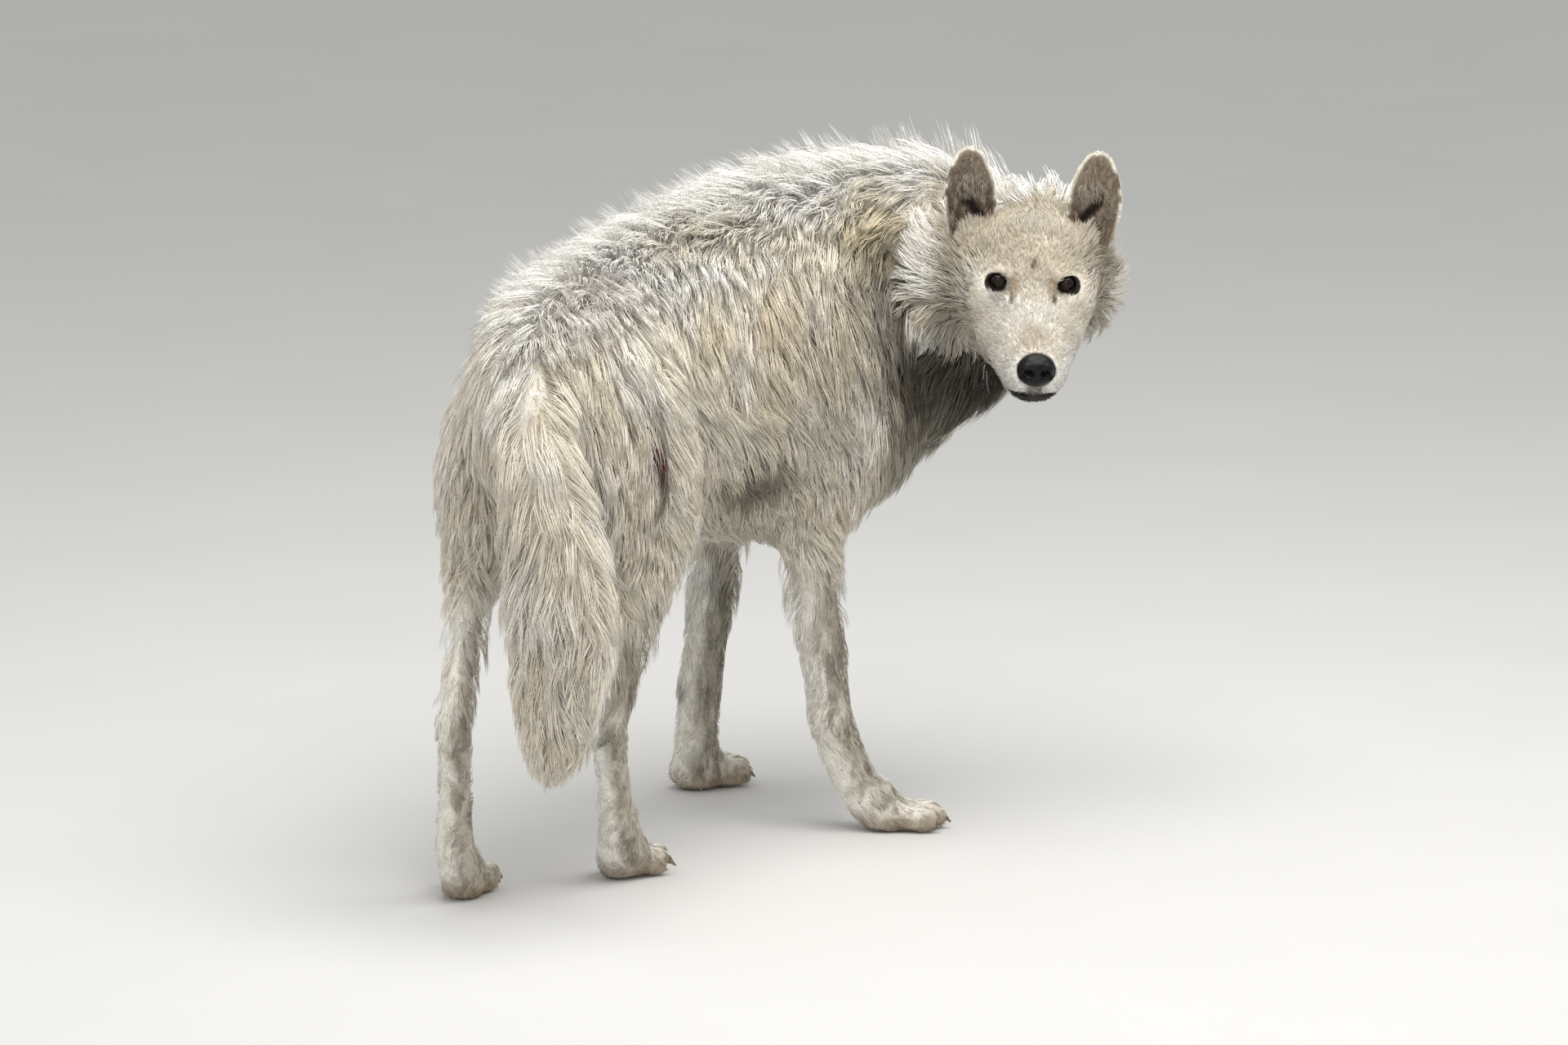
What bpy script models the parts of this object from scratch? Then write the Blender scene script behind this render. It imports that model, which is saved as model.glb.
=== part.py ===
"""A life-size arctic wolf that stands and looks back over its right shoulder.

Metres, +Z up, +X the way the trunk faces, +Y to the wolf's left. The solids hold the
whole animal out to the tips of its coat. Body and head are each blended from lofts and
ellipsoids. Thin discs then part the body into its nodes, and the head, ears, eyes, nose
and claws are let into one another with a hair's breadth between them.
"""

import math

import bmesh
import bpy
import numpy as np
from mathutils import Matrix, Vector

# --- driving dimensions -------------------------------------------------------------
HIP_AT = Vector((-0.280, -0.020, 0.0))  # the ground under the middle of the hip joints
SPINE_LENGTH = 0.600  # from the hips to the root of the neck
PELVIS_HEADING = math.radians(18.0)  # headings turn to the left from +X
SHOULDER_HEADING = math.radians(-18.0)
EYES_AT = Vector((0.322, -0.304, 0.681))  # midway between the two eyes
HEAD_HEADING = math.radians(-142.0)
HEAD_PITCH = math.radians(14.0)  # nose down
HEAD_ROLL = math.radians(-3.0)  # left side down
NAPE = Vector((-0.150, 0.0, -0.035))  # where the neck enters the skull, in the head's frame
EYE_APART = 0.0815
EYE_RADIUS = 0.0130
GAP = 0.0004  # between neighbouring solids
NECK_GAP = 0.0012  # between neck and head, wider because the ruff is creased there

BODY_VOXEL = 0.0045
HEAD_VOXEL = 0.0030
BODY_TRIANGLES = 2300
HEAD_TRIANGLES = 900
BODY_SOFTENING = (24, 6)  # smoothing turns of the broad forms, then of everything
HEAD_SOFTENING = (40, 5)
LEG_TOP = 0.36  # under this height the body is leg and tail, and is softened less
FINE_FACE = (-0.030, 0.020)  # from here to here along the head the face comes in, which is softened less

# Along the spine: distance ahead of the hips, height, half width, up, down.
TRUNK = [
    (-0.150, 0.570, 0.020, 0.025, 0.030),
    (-0.135, 0.575, 0.055, 0.080, 0.085),
    (-0.090, 0.585, 0.088, 0.135, 0.130),
    (0.000, 0.590, 0.112, 0.168, 0.140),
    (0.130, 0.585, 0.128, 0.188, 0.165),
    (0.270, 0.580, 0.146, 0.214, 0.205),
    (0.400, 0.580, 0.155, 0.232, 0.228),
    (0.500, 0.585, 0.160, 0.245, 0.235),
    (0.580, 0.590, 0.146, 0.240, 0.225),
    (0.640, 0.600, 0.118, 0.212, 0.205),
    (0.700, 0.600, 0.065, 0.120, 0.130),
]
# Along the neck's curve: share of it, height over it, half width, up, down.
NECK = [
    (0.00, 0.000, 0.105, 0.186, 0.160),
    (0.18, 0.000, 0.122, 0.208, 0.190),
    (0.36, 0.000, 0.124, 0.204, 0.200),
    (0.54, 0.000, 0.118, 0.190, 0.188),
    (0.72, 0.000, 0.110, 0.162, 0.165),
    (0.88, 0.000, 0.102, 0.128, 0.132),
    (1.00, 0.000, 0.085, 0.095, 0.100),
    (1.06, 0.000, 0.050, 0.060, 0.060),
]
NECK_START = 0.50  # ahead of the hips
NECK_HEIGHT = 0.620
NECK_RUNS = (0.42, 0.30)  # how strongly its curve keeps the headings of its two ends
MUSCLES = [  # middle, radii, turn about +Z: the thighs, the shoulders, the breast and the mane at the nape
    ((-0.290, 0.064, 0.485), (0.095, 0.058, 0.135), 18.0),
    ((-0.240, -0.072, 0.520), (0.105, 0.060, 0.140), 18.0),
    ((0.262, 0.082, 0.500), (0.100, 0.064, 0.150), -18.0),
    ((0.228, -0.072, 0.500), (0.100, 0.064, 0.150), -18.0),
    ((0.340, -0.040, 0.475), (0.080, 0.085, 0.110), -18.0),
    ((0.330, 0.020, 0.530), (0.080, 0.100, 0.130), -18.0),
    ((0.460, -0.242, 0.726), (0.072, 0.072, 0.090), 0.0),
]
# Joints from hip or shoulder to the fetlock; the middle and the heading of the paw.
LEGS = {
    "hindleg_left": dict(
        joints=[(-0.285, 0.050, 0.640), (-0.266, 0.102, 0.430), (-0.434, 0.014, 0.225), (-0.400, 0.040, 0.062)],
        paw=(-0.362, 0.052), paw_height=0.055, heading=24.0, hind=True),
    "hindleg_right": dict(
        joints=[(-0.240, -0.085, 0.640), (-0.172, -0.093, 0.420), (-0.258, -0.084, 0.212), (-0.208, -0.064, 0.062)],
        paw=(-0.168, -0.048), paw_height=0.055, heading=-15.0, hind=True),
    "foreleg_left": dict(
        joints=[(0.290, 0.075, 0.540), (0.240, 0.098, 0.380), (0.254, 0.148, 0.135), (0.260, 0.156, 0.060)],
        paw=(0.291, 0.165), paw_height=0.055, heading=-15.0, hind=False),
    "foreleg_right": dict(
        joints=[(0.265, -0.085, 0.540), (0.197, -0.060, 0.380), (0.177, -0.107, 0.135), (0.192, -0.134, 0.058)],
        paw=(0.232, -0.168), paw_height=0.046, heading=-46.0, hind=False),
}
# Share of the way along each bone, half width, reach to the front, reach to the back.
HIND_SHAPE = [
    [(-0.10, 0.030, 0.050, 0.060), (0.15, 0.058, 0.085, 0.095), (0.55, 0.066, 0.092, 0.105)],
    [(0.00, 0.052, 0.062, 0.080), (0.35, 0.040, 0.044, 0.060), (0.70, 0.028, 0.031, 0.038)],
    [(0.00, 0.025, 0.026, 0.031), (0.45, 0.0235, 0.023, 0.025), (1.00, 0.027, 0.026, 0.028)],
]
FORE_SHAPE = [
    [(-0.10, 0.030, 0.040, 0.045), (0.20, 0.054, 0.070, 0.080), (0.60, 0.058, 0.066, 0.078)],
    [(0.00, 0.052, 0.054, 0.064), (0.30, 0.041, 0.040, 0.045), (0.72, 0.029, 0.029, 0.032)],
    [(0.00, 0.030, 0.029, 0.031), (1.00, 0.030, 0.028, 0.030)],
]
PAW_LENGTH = {True: 0.096, False: 0.112}
PAW_WIDTH = {True: 0.074, False: 0.088}
PAW_BODY = (0.36, 0.44, 0.56)  # radii of its rear part, in shares of its length, width and height
PAW_BODY_AT = (-0.12, 0.42)  # its middle, ahead and up, in the same shares
HEEL = (0.036, 0.029, 0.032)
HEEL_SHARE = 0.45  # of the way from the fetlock to the middle of the paw
TOE = (0.25, 0.155, 0.40)  # radii in shares of the paw
TOE_HEIGHT = 0.36
TOES = ((-0.36, 0.20, -16), (-0.13, 0.33, -5), (0.13, 0.33, 5), (0.36, 0.20, 16))
CLAW = [  # distance ahead of the toe's middle, height over it, radius
    (0.012, 0.000, 0.0034),
    (0.022, -0.003, 0.0026),
    (0.027, -0.008, 0.0009),
]
# x, y, z, half width, reach to the front and to the back, from the root to the tip.
TAIL = [
    (-0.350, -0.050, 0.660, 0.045, 0.045, 0.045),
    (-0.395, -0.072, 0.640, 0.056, 0.055, 0.055),
    (-0.428, -0.100, 0.590, 0.064, 0.060, 0.060),
    (-0.440, -0.125, 0.520, 0.072, 0.062, 0.064),
    (-0.442, -0.145, 0.430, 0.082, 0.064, 0.066),
    (-0.440, -0.148, 0.340, 0.080, 0.062, 0.064),
    (-0.438, -0.140, 0.255, 0.062, 0.050, 0.052),
    (-0.438, -0.130, 0.190, 0.030, 0.026, 0.026),
    (-0.438, -0.124, 0.160, 0.006, 0.006, 0.006),
]

# The head's own frame: x to the nose, y to the left, z up from the eyes.
FACE = [  # x, height of the middle, half width, up, down
    (-0.060, -0.042, 0.070, 0.090, 0.062),
    (-0.030, -0.050, 0.076, 0.072, 0.060),
    (0.000, -0.060, 0.071, 0.061, 0.053),
    (0.030, -0.067, 0.060, 0.050, 0.048),
    (0.060, -0.073, 0.051, 0.045, 0.042),
    (0.090, -0.078, 0.045, 0.044, 0.037),
    (0.110, -0.080, 0.038, 0.041, 0.033),
    (0.121, -0.082, 0.027, 0.030, 0.024),
    (0.126, -0.083, 0.009, 0.012, 0.010),
]
HEAD_LUMPS = [  # middle and radii; one with a y is mirrored to the other side
    ((-0.070, 0.000, 0.006), (0.078, 0.074, 0.072)),  # crown
    ((-0.045, 0.050, -0.030), (0.060, 0.042, 0.054)),  # cheek bone
    ((-0.022, 0.030, 0.006), (0.032, 0.034, 0.026)),  # brow
    ((-0.030, 0.034, -0.080), (0.066, 0.034, 0.040)),  # jaw
    ((-0.080, 0.000, -0.080), (0.090, 0.062, 0.058)),  # throat
    ((-0.094, 0.066, 0.020), (0.034, 0.040, 0.040)),  # foot of the ear
]
RUFF = [  # middle and radii, from the left cheek round to the right
    ((-0.098, 0.066, -0.040), (0.054, 0.066, 0.084)),
    ((-0.088, -0.092, -0.042), (0.062, 0.080, 0.092)),
    ((-0.105, 0.000, -0.050), (0.056, 0.100, 0.088)),
]
EAR_FOOT = Vector((-0.090, 0.078, 0.036))
EAR_TIP = Vector((-0.106, 0.080, 0.139))
EAR_TURN = math.radians(-8.0)  # turn of the ear's mouth towards the nose
EAR = [  # share of the height, half width, depth of the cup, thickness
    (-0.18, 0.0260, 0.0240, 0.0080),
    (0.00, 0.0310, 0.0240, 0.0080),
    (0.22, 0.0350, 0.0220, 0.0075),
    (0.44, 0.0355, 0.0180, 0.0070),
    (0.64, 0.0315, 0.0125, 0.0065),
    (0.82, 0.0230, 0.0070, 0.0060),
    (0.94, 0.0125, 0.0030, 0.0055),
    (1.00, 0.0040, 0.0010, 0.0045),
]
NOSE_AT = Vector((0.1210, 0.0, -0.0605))
NOSE_RADII = Vector((0.0150, 0.0236, 0.0208))
EYE_DEPTH = 0.0120  # of the eyeball's middle behind the line between the eyes
LIDS = Vector((0.0120, 0.0145, 0.0118))  # radii of the hollow in front of the eyeball
LIDS_AHEAD = 0.0060  # of the line between the eyes
LID_SLANT = math.radians(20.0)  # the inner corner sits lower

# Discs that part the tail and the body: middle, the way across the cut, radius.
TAIL_CUT = ((-0.441, -0.146, 0.400), (0.00, 0.00, 1.00), 0.110)
CUTS = [
    ((0.345, -0.020, 0.620), (0.80, -0.30, 0.52), 0.30),  # neck from trunk
    ((-0.310, 0.085, 0.352), (0.30, 0.10, 0.95), 0.125),
    ((-0.432, 0.014, 0.205), (-0.20, -0.10, 1.00), 0.050),
    ((-0.186, -0.090, 0.372), (0.25, 0.00, 0.95), 0.125),
    ((-0.252, -0.082, 0.192), (-0.20, -0.10, 1.00), 0.050),
    ((0.241, 0.102, 0.350), (0.00, 0.00, 1.00), 0.085),
    ((0.255, 0.149, 0.120), (0.00, 0.00, 1.00), 0.055),
    ((0.193, -0.068, 0.345), (0.00, 0.00, 1.00), 0.085),
    ((0.183, -0.117, 0.120), (0.00, 0.00, 1.00), 0.060),
]
# A point inside each node of the parted tail and body.
TAIL_NODES = {
    "tail_upper": (-0.440, -0.130, 0.500),
    "tail_lower": (-0.438, -0.140, 0.300),
}
NODES = {
    "trunk": (0.0, 0.02, 0.600),
    "neck": (0.430, -0.080, 0.640),
    "hindleg_left_shank": (-0.370, 0.045, 0.300),
    "hindleg_left_foot": (-0.400, 0.035, 0.080),
    "hindleg_right_shank": (-0.210, -0.090, 0.300),
    "hindleg_right_foot": (-0.210, -0.070, 0.080),
    "foreleg_left_forearm": (0.245, 0.120, 0.240),
    "foreleg_left_foot": (0.265, 0.155, 0.050),
    "foreleg_right_forearm": (0.188, -0.090, 0.240),
    "foreleg_right_foot": (0.200, -0.140, 0.050),
}


# --- forms --------------------------------------------------------------------------
def heading_vector(heading):
    return Vector((math.cos(heading), math.sin(heading), 0.0))


def smooth_rows(rows, steps=4):
    """Catmull-Rom through rows of numbers, so that a few stations make a smooth form."""
    rows = np.array(rows, float)
    padded = np.vstack([2 * rows[0] - rows[1], rows, 2 * rows[-1] - rows[-2]])
    dense = []
    for i in range(1, len(padded) - 2):
        a, b, c, d = padded[i - 1 : i + 3]
        for t in np.arange(steps) / steps:
            dense.append(
                0.5 * (2 * b + (c - a) * t + (2 * a - 5 * b + 4 * c - d) * t**2
                       + (3 * b - a - 3 * c + d) * t**3)
            )
    dense.append(rows[-1])
    return np.array(dense)


def loft(bm, stations, front_hint, sides=24, steps=4):
    """Adds a closed form of oval rings. A station is x, y, z, then its half width to the
    sides and its reach to the front and to the back. The front is where front_hint points."""
    rows = smooth_rows(stations, steps)
    tangents = np.gradient(rows[:, :3], axis=0)
    hint = Vector(front_hint)
    loops = []
    for row, tangent in zip(rows, tangents):
        along_it = Vector(tangent).normalized()
        side = along_it.cross(hint).normalized()
        front = side.cross(along_it).normalized()
        centre, (wide, fore, aft) = Vector(row[:3]), np.maximum(row[3:6], 0.0005)
        ring = bmesh.ops.create_circle(bm, segments=sides, radius=1.0)["verts"]
        for vert in ring:
            depth = fore if vert.co.y > 0 else aft
            vert.co = centre + side * (wide * vert.co.x) + front * (depth * vert.co.y)
        loops.append(ring)
    for lower, upper in zip(loops, loops[1:]):
        ends = [set(lower), set(upper)]
        edges = {e for v in (*lower, *upper) for e in v.link_edges}
        rim = [e for e in edges if set(e.verts) <= ends[0] or set(e.verts) <= ends[1]]
        bmesh.ops.bridge_loops(bm, edges=rim)
    for ring in (loops[0], loops[-1]):
        bmesh.ops.contextual_create(bm, geom=ring)


def ellipsoid(bm, centre, radii, turn=Matrix.Identity(4), around=20, down=12):
    matrix = Matrix.Translation(centre) @ turn @ Matrix.Diagonal((*radii, 1.0))
    bmesh.ops.create_uvsphere(bm, u_segments=around, v_segments=down, radius=1.0, matrix=matrix)


# --- the spine and the neck ---------------------------------------------------------
HEAD_FRAME = (
    Matrix.Translation(EYES_AT)
    @ Matrix.Rotation(HEAD_HEADING, 4, "Z")
    @ Matrix.Rotation(HEAD_PITCH, 4, "Y")
    @ Matrix.Rotation(HEAD_ROLL, 4, "X")
)


def spine(distance):
    """The point on the ground under the spine at this distance ahead of the hips."""
    if distance < 0:
        return HIP_AT + heading_vector(PELVIS_HEADING) * distance
    bend = (SHOULDER_HEADING - PELVIS_HEADING) / SPINE_LENGTH
    now = PELVIS_HEADING + bend * distance
    run = math.sin(now) - math.sin(PELVIS_HEADING)
    drift = math.cos(PELVIS_HEADING) - math.cos(now)
    return HIP_AT + Vector((run, drift, 0)) / bend


def neck(share):
    """A point of the neck's curve, from between the shoulders (0) to the nape (1)."""
    start = spine(NECK_START)
    start.z = NECK_HEIGHT
    end = HEAD_FRAME @ NAPE
    leave = heading_vector(SHOULDER_HEADING) * NECK_RUNS[0]
    arrive = heading_vector(HEAD_HEADING) * NECK_RUNS[1]
    t2, t3 = share**2, share**3
    return (start * (2 * t3 - 3 * t2 + 1) + leave * (t3 - 2 * t2 + share)
            + end * (3 * t2 - 2 * t3) + arrive * (t3 - t2))


def along(curve, stations):
    """Turns (place on the curve, height, half width, up, down) into loft stations."""
    rows = []
    for place, height, wide, up, down in stations:
        point = curve(place)
        rows.append((point.x, point.y, height + point.z, wide, up, down))
    return rows


# --- legs and paws ------------------------------------------------------------------
def leg_stations(joints, shape):
    rows = []
    for start, end, sections in zip(joints, joints[1:], shape):
        for share, wide, fore, aft in sections:
            point = Vector(start).lerp(Vector(end), share)
            rows.append((*point, wide, fore, aft))
    return rows


def toe_places(leg):
    """Each toe's middle, its heading and its radii, from the right toe to the left one."""
    length, width = PAW_LENGTH[leg["hind"]], PAW_WIDTH[leg["hind"]]
    heading = math.radians(leg["heading"])
    ahead, left = heading_vector(heading), heading_vector(heading + math.pi / 2)
    for across, reach, splay in TOES:
        middle = Vector((*leg["paw"], 0.0)) + ahead * (reach * length) + left * (across * width)
        middle.z = TOE_HEIGHT * leg["paw_height"]
        radii = Vector((TOE[0] * length, TOE[1] * width, TOE[2] * leg["paw_height"]))
        yield middle, heading + math.radians(splay), radii


def add_leg(bm, leg):
    ahead = heading_vector(math.radians(leg["heading"]))
    loft(bm, leg_stations(leg["joints"], HIND_SHAPE if leg["hind"] else FORE_SHAPE), ahead)
    turn = Matrix.Rotation(math.radians(leg["heading"]), 4, "Z")
    length, width, height = PAW_LENGTH[leg["hind"]], PAW_WIDTH[leg["hind"]], leg["paw_height"]
    middle = Vector((*leg["paw"], PAW_BODY_AT[1] * height)) + ahead * (PAW_BODY_AT[0] * length)
    ellipsoid(bm, middle, (PAW_BODY[0] * length, PAW_BODY[1] * width, PAW_BODY[2] * height), turn)
    fetlock = Vector(leg["joints"][-1])
    ellipsoid(bm, fetlock.lerp(middle, HEEL_SHARE), HEEL, turn)
    for place, toe_heading, radii in toe_places(leg):
        ellipsoid(bm, place, radii, Matrix.Rotation(toe_heading, 4, "Z"))


def add_claw(bm, middle, heading):
    ahead = heading_vector(heading)
    rows = []
    for reach, height, radius in CLAW:
        point = middle + ahead * reach
        rows.append((point.x, point.y, point.z + height, radius * 0.8, radius, radius))
    loft(bm, rows, (0, 0, 1), sides=6, steps=1)


# --- head and ears ------------------------------------------------------------------
def add_head(bm):
    rows = [(x, 0.0, z, wide, up, down) for x, z, wide, up, down in FACE]
    loft(bm, rows, (0, 0, 1))
    for middle, radii in HEAD_LUMPS:
        ellipsoid(bm, middle, radii)
        if middle[1]:
            ellipsoid(bm, (middle[0], -middle[1], middle[2]), radii)
    for middle, radii in RUFF:
        ellipsoid(bm, middle, radii)


def add_ear(bm, side):
    """A cupped leaf: each ring runs across the back of the ear and back inside it."""
    up = (EAR_TIP - EAR_FOOT).normalized()
    across = Matrix.Rotation(EAR_TURN, 3, up) @ Vector((0, 1, 0))
    across = (across - up * across.dot(up)).normalized()
    facing = across.cross(up)
    steps = [math.radians(84.0) * i / 4 for i in range(-4, 5)]
    rings = []
    for share, wide, cup, thick in smooth_rows(EAR, 1):
        middle = EAR_FOOT.lerp(EAR_TIP, share)
        back = [(wide * math.sin(a), cup * (1 - math.cos(a))) for a in steps]
        inside = [((wide - thick * 0.9) * math.sin(a), cup * (1 - math.cos(a)) + thick * math.cos(a))
                  for a in reversed(steps)]
        ring = []
        for sideways, depth in back + inside:
            point = middle + across * sideways + facing * depth
            ring.append(bm.verts.new((point.x, point.y * side, point.z)))
        rings.append(ring)
    for low, high in zip(rings, rings[1:]):
        for i in range(len(low)):
            j = (i + 1) % len(low)
            bm.faces.new((low[i], low[j], high[j], high[i]))
    for ring in (rings[0], rings[-1]):
        half = len(ring) // 2
        for i in range(half - 1):
            bm.faces.new((ring[i], ring[i + 1], ring[-2 - i], ring[-1 - i]))
    bmesh.ops.recalc_face_normals(bm, faces=bm.faces)


# --- turning forms into smooth closed meshes ------------------------------------------
def make(name, build, surface, collection, matrix=None):
    """An object of what build adds to an empty mesh."""
    bm = bmesh.new()
    build(bm)
    if matrix is not None:
        bmesh.ops.transform(bm, matrix=matrix, verts=bm.verts)
    bmesh.ops.triangulate(bm, faces=bm.faces)  # so that a grown copy has the same facets
    mesh = bpy.data.meshes.new(name)
    bm.to_mesh(mesh)
    bm.free()
    made = bpy.data.objects.new(name, mesh)
    made.data.materials.append(surface)
    collection.objects.link(made)
    return made


def apply_modifiers(obj):
    graph = bpy.context.evaluated_depsgraph_get()
    mesh = bpy.data.meshes.new_from_object(obj.evaluated_get(graph))
    obj.modifiers.clear()
    obj.data = mesh


def weigh(obj, name, weight_of):
    group = obj.vertex_groups.new(name=name)
    for vert in obj.data.vertices:
        group.add([vert.index], weight_of(vert.co), "REPLACE")


def blend(obj, voxel, weight_of, softening, triangles):
    """One skin round all the overlapping forms, softened most where weight_of is 0."""
    remesh = obj.modifiers.new("Blend", "REMESH")
    remesh.mode = "VOXEL"
    remesh.voxel_size = voxel
    apply_modifiers(obj)
    weigh(obj, "fine", weight_of)
    soften = obj.modifiers.new("Soften", "SMOOTH")
    soften.factor = 0.5
    soften.iterations = softening[0]
    soften.vertex_group = "fine"
    soften.invert_vertex_group = True
    settle = obj.modifiers.new("Settle", "SMOOTH")
    settle.factor = 0.5
    settle.iterations = softening[1]
    thin = obj.modifiers.new("Thin", "DECIMATE")
    thin.ratio = triangles / (2 * len(obj.data.polygons))
    apply_modifiers(obj)
    obj.vertex_groups.clear()


def cut_away(obj, cutter):
    """Takes the cutter's form out of obj, and hides the cutter."""
    hollow = obj.modifiers.new("Hollow", "BOOLEAN")
    hollow.operation = "DIFFERENCE"
    hollow.solver = "EXACT"
    hollow.object = cutter
    apply_modifiers(obj)
    mesh = cutter.data
    bpy.data.objects.remove(cutter)
    bpy.data.meshes.remove(mesh)


def grown(obj, by):
    """A copy of obj that is larger by this much all over."""
    copy = obj.copy()
    copy.data = obj.data.copy()
    for collection in obj.users_collection:
        collection.objects.link(copy)
    normals = [vert.normal.copy() for vert in copy.data.vertices]
    for vert, normal in zip(copy.data.vertices, normals):
        vert.co += normal * by
    return copy


def loose_parts(obj):
    """The separate closed pieces of a mesh, as lists of its faces' indices."""
    bm = bmesh.new()
    bm.from_mesh(obj.data)
    bm.faces.ensure_lookup_table()
    left, parts = set(range(len(bm.faces))), []
    while left:
        grow = [left.pop()]
        part = list(grow)
        while grow:
            for edge in bm.faces[grow.pop()].edges:
                for face in edge.link_faces:
                    if face.index in left:
                        left.discard(face.index)
                        grow.append(face.index)
                        part.append(face.index)
        parts.append(part)
    bm.free()
    return parts


def keep_faces(obj, name, faces):
    """A new object that holds only these faces of obj."""
    keep = set(faces)
    bm = bmesh.new()
    bm.from_mesh(obj.data)
    bmesh.ops.delete(bm, geom=[f for f in bm.faces if f.index not in keep], context="FACES")
    mesh = bpy.data.meshes.new(name)
    bm.to_mesh(mesh)
    bm.free()
    for surface in obj.data.materials:
        mesh.materials.append(surface)
    return bpy.data.objects.new(name, mesh)


def holds(obj, faces, point):
    """Whether the closed piece made of these faces has the point inside it."""
    crossings = 0
    vertices, target = obj.data.vertices, Vector(point)
    for index in faces:
        ring = [vertices[i].co - target for i in obj.data.polygons[index].vertices]
        for second, third in zip(ring[1:], ring[2:]):
            first = ring[0]
            area = (second - first).xy.cross((third - first).xy)
            if abs(area) < 1e-14:
                continue
            shares = [a.xy.cross(b.xy) / area for a, b in ((first, second), (second, third), (third, first))]
            if min(shares) >= 0:
                height = shares[1] * first.z + shares[2] * second.z + shares[0] * third.z
                crossings += height > 0
    return crossings % 2 == 1


# --- the whole wolf -------------------------------------------------------------------
def make_body(surface, collection):
    def build(bm):
        loft(bm, along(spine, TRUNK), (0, 0, 1))
        loft(bm, along(neck, NECK), (0, 0, 1))
        for middle, radii, turn in MUSCLES:
            ellipsoid(bm, middle, radii, Matrix.Rotation(math.radians(turn), 4, "Z"))
        for leg in LEGS.values():
            add_leg(bm, leg)

    body = make("body", build, surface, collection)
    blend(body, BODY_VOXEL, lambda co: 1.0 if co.z < LEG_TOP else 0.0, BODY_SOFTENING, BODY_TRIANGLES)
    slab = Matrix.Translation((0, 0, -0.05)) @ Matrix.Diagonal((3, 3, 0.1, 1))
    ground = make("ground", lambda bm: bmesh.ops.create_cube(bm, size=1.0, matrix=slab), surface, collection)
    cut_away(body, ground)
    return body


def make_head(surface, collection):
    head = make("head", add_head, surface, collection)
    start, end = FINE_FACE
    blend(head, HEAD_VOXEL, lambda co: min(1.0, max(0.0, (co.x - start) / (end - start))), HEAD_SOFTENING,
          HEAD_TRIANGLES)
    for side in (1, -1):
        slant = Matrix.Rotation(side * LID_SLANT, 4, "X")
        at = Vector((LIDS_AHEAD, side * EYE_APART / 2, 0.0))
        lids = make("lids", lambda bm: ellipsoid(bm, at, LIDS, slant, 14, 8), surface, collection)
        cut_away(head, lids)
    head.data.transform(HEAD_FRAME)
    return head


def part_by_discs(whole, discs, nodes, collection):
    """Cuts whole with thin discs, and makes a named node of each closed piece left."""
    for middle, across, radius in discs:
        turn = Vector((0, 0, 1)).rotation_difference(Vector(across)).to_matrix().to_4x4()
        place = Matrix.Translation(middle) @ turn

        def disc(bm):
            bmesh.ops.create_cone(bm, cap_ends=True, segments=32, radius1=radius, radius2=radius,
                                  depth=GAP, matrix=place)

        cut_away(whole, make("cut", disc, whole.data.materials[0], collection))
    for faces in loose_parts(whole):
        owners = [name for name, point in nodes.items() if holds(whole, faces, point)]
        for name in owners:
            collection.objects.link(keep_faces(whole, name, faces))
    mesh = whole.data
    bpy.data.objects.remove(whole)
    bpy.data.meshes.remove(mesh)


def main():
    for old in list(bpy.data.objects):
        bpy.data.objects.remove(old)
    wolf = bpy.data.collections.new("arctic_wolf")
    bpy.context.scene.collection.children.link(wolf)
    coat = material("coat", (0.72, 0.66, 0.54), 0.9)
    iris = material("eye", (0.03, 0.015, 0.01), 0.1)
    leather = material("nose_leather", (0.02, 0.018, 0.02), 0.5)
    horn = material("claw_horn", (0.12, 0.09, 0.06), 0.4)

    body = make_body(coat, wolf)
    head = make_head(coat, wolf)
    cut_away(body, grown(head, NECK_GAP))
    tail = make("tail", lambda bm: loft(bm, TAIL, (1, 0, 0), sides=16, steps=2), coat, wolf)
    cut_away(body, grown(tail, GAP))
    part_by_discs(tail, [TAIL_CUT], TAIL_NODES, wolf)

    for name, leg in LEGS.items():
        for number, (middle, heading, _) in enumerate(toe_places(leg), start=1):
            claw = make(f"{name}_claw_{number}", lambda bm: add_claw(bm, middle, heading), horn, wolf)
            cut_away(body, grown(claw, GAP))
    part_by_discs(body, CUTS, NODES, wolf)

    for side, hand in ((1, "left"), (-1, "right")):
        ear = make(f"ear_{hand}", lambda bm: add_ear(bm, side), coat, wolf, HEAD_FRAME)
        cut_away(head, grown(ear, GAP))
        at = Vector((-EYE_DEPTH, side * EYE_APART / 2, 0.0))
        ball = (EYE_RADIUS,) * 3
        eye = make(f"eye_{hand}", lambda bm: ellipsoid(bm, at, ball, around=14, down=8), iris, wolf, HEAD_FRAME)
        cut_away(head, grown(eye, GAP))
    nose = make("nose", lambda bm: ellipsoid(bm, NOSE_AT, NOSE_RADII, around=14, down=8), leather, wolf, HEAD_FRAME)
    cut_away(head, grown(nose, GAP))

    corners = [vert.co for obj in wolf.objects for vert in obj.data.vertices]
    low = Vector([min(co[axis] for co in corners) for axis in range(3)])
    high = Vector([max(co[axis] for co in corners) for axis in range(3)])
    origin = Vector(((low.x + high.x) / 2, (low.y + high.y) / 2, low.z))
    for obj in wolf.objects:
        obj.data.transform(Matrix.Translation(-origin))


def material(name, colour, roughness):
    made = bpy.data.materials.new(name)
    made.use_nodes = True
    shader = made.node_tree.nodes["Principled BSDF"]
    shader.inputs["Base Color"].default_value = (*colour, 1.0)
    shader.inputs["Roughness"].default_value = roughness
    made.diffuse_color = (*colour, 1.0)
    return made


main()
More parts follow.
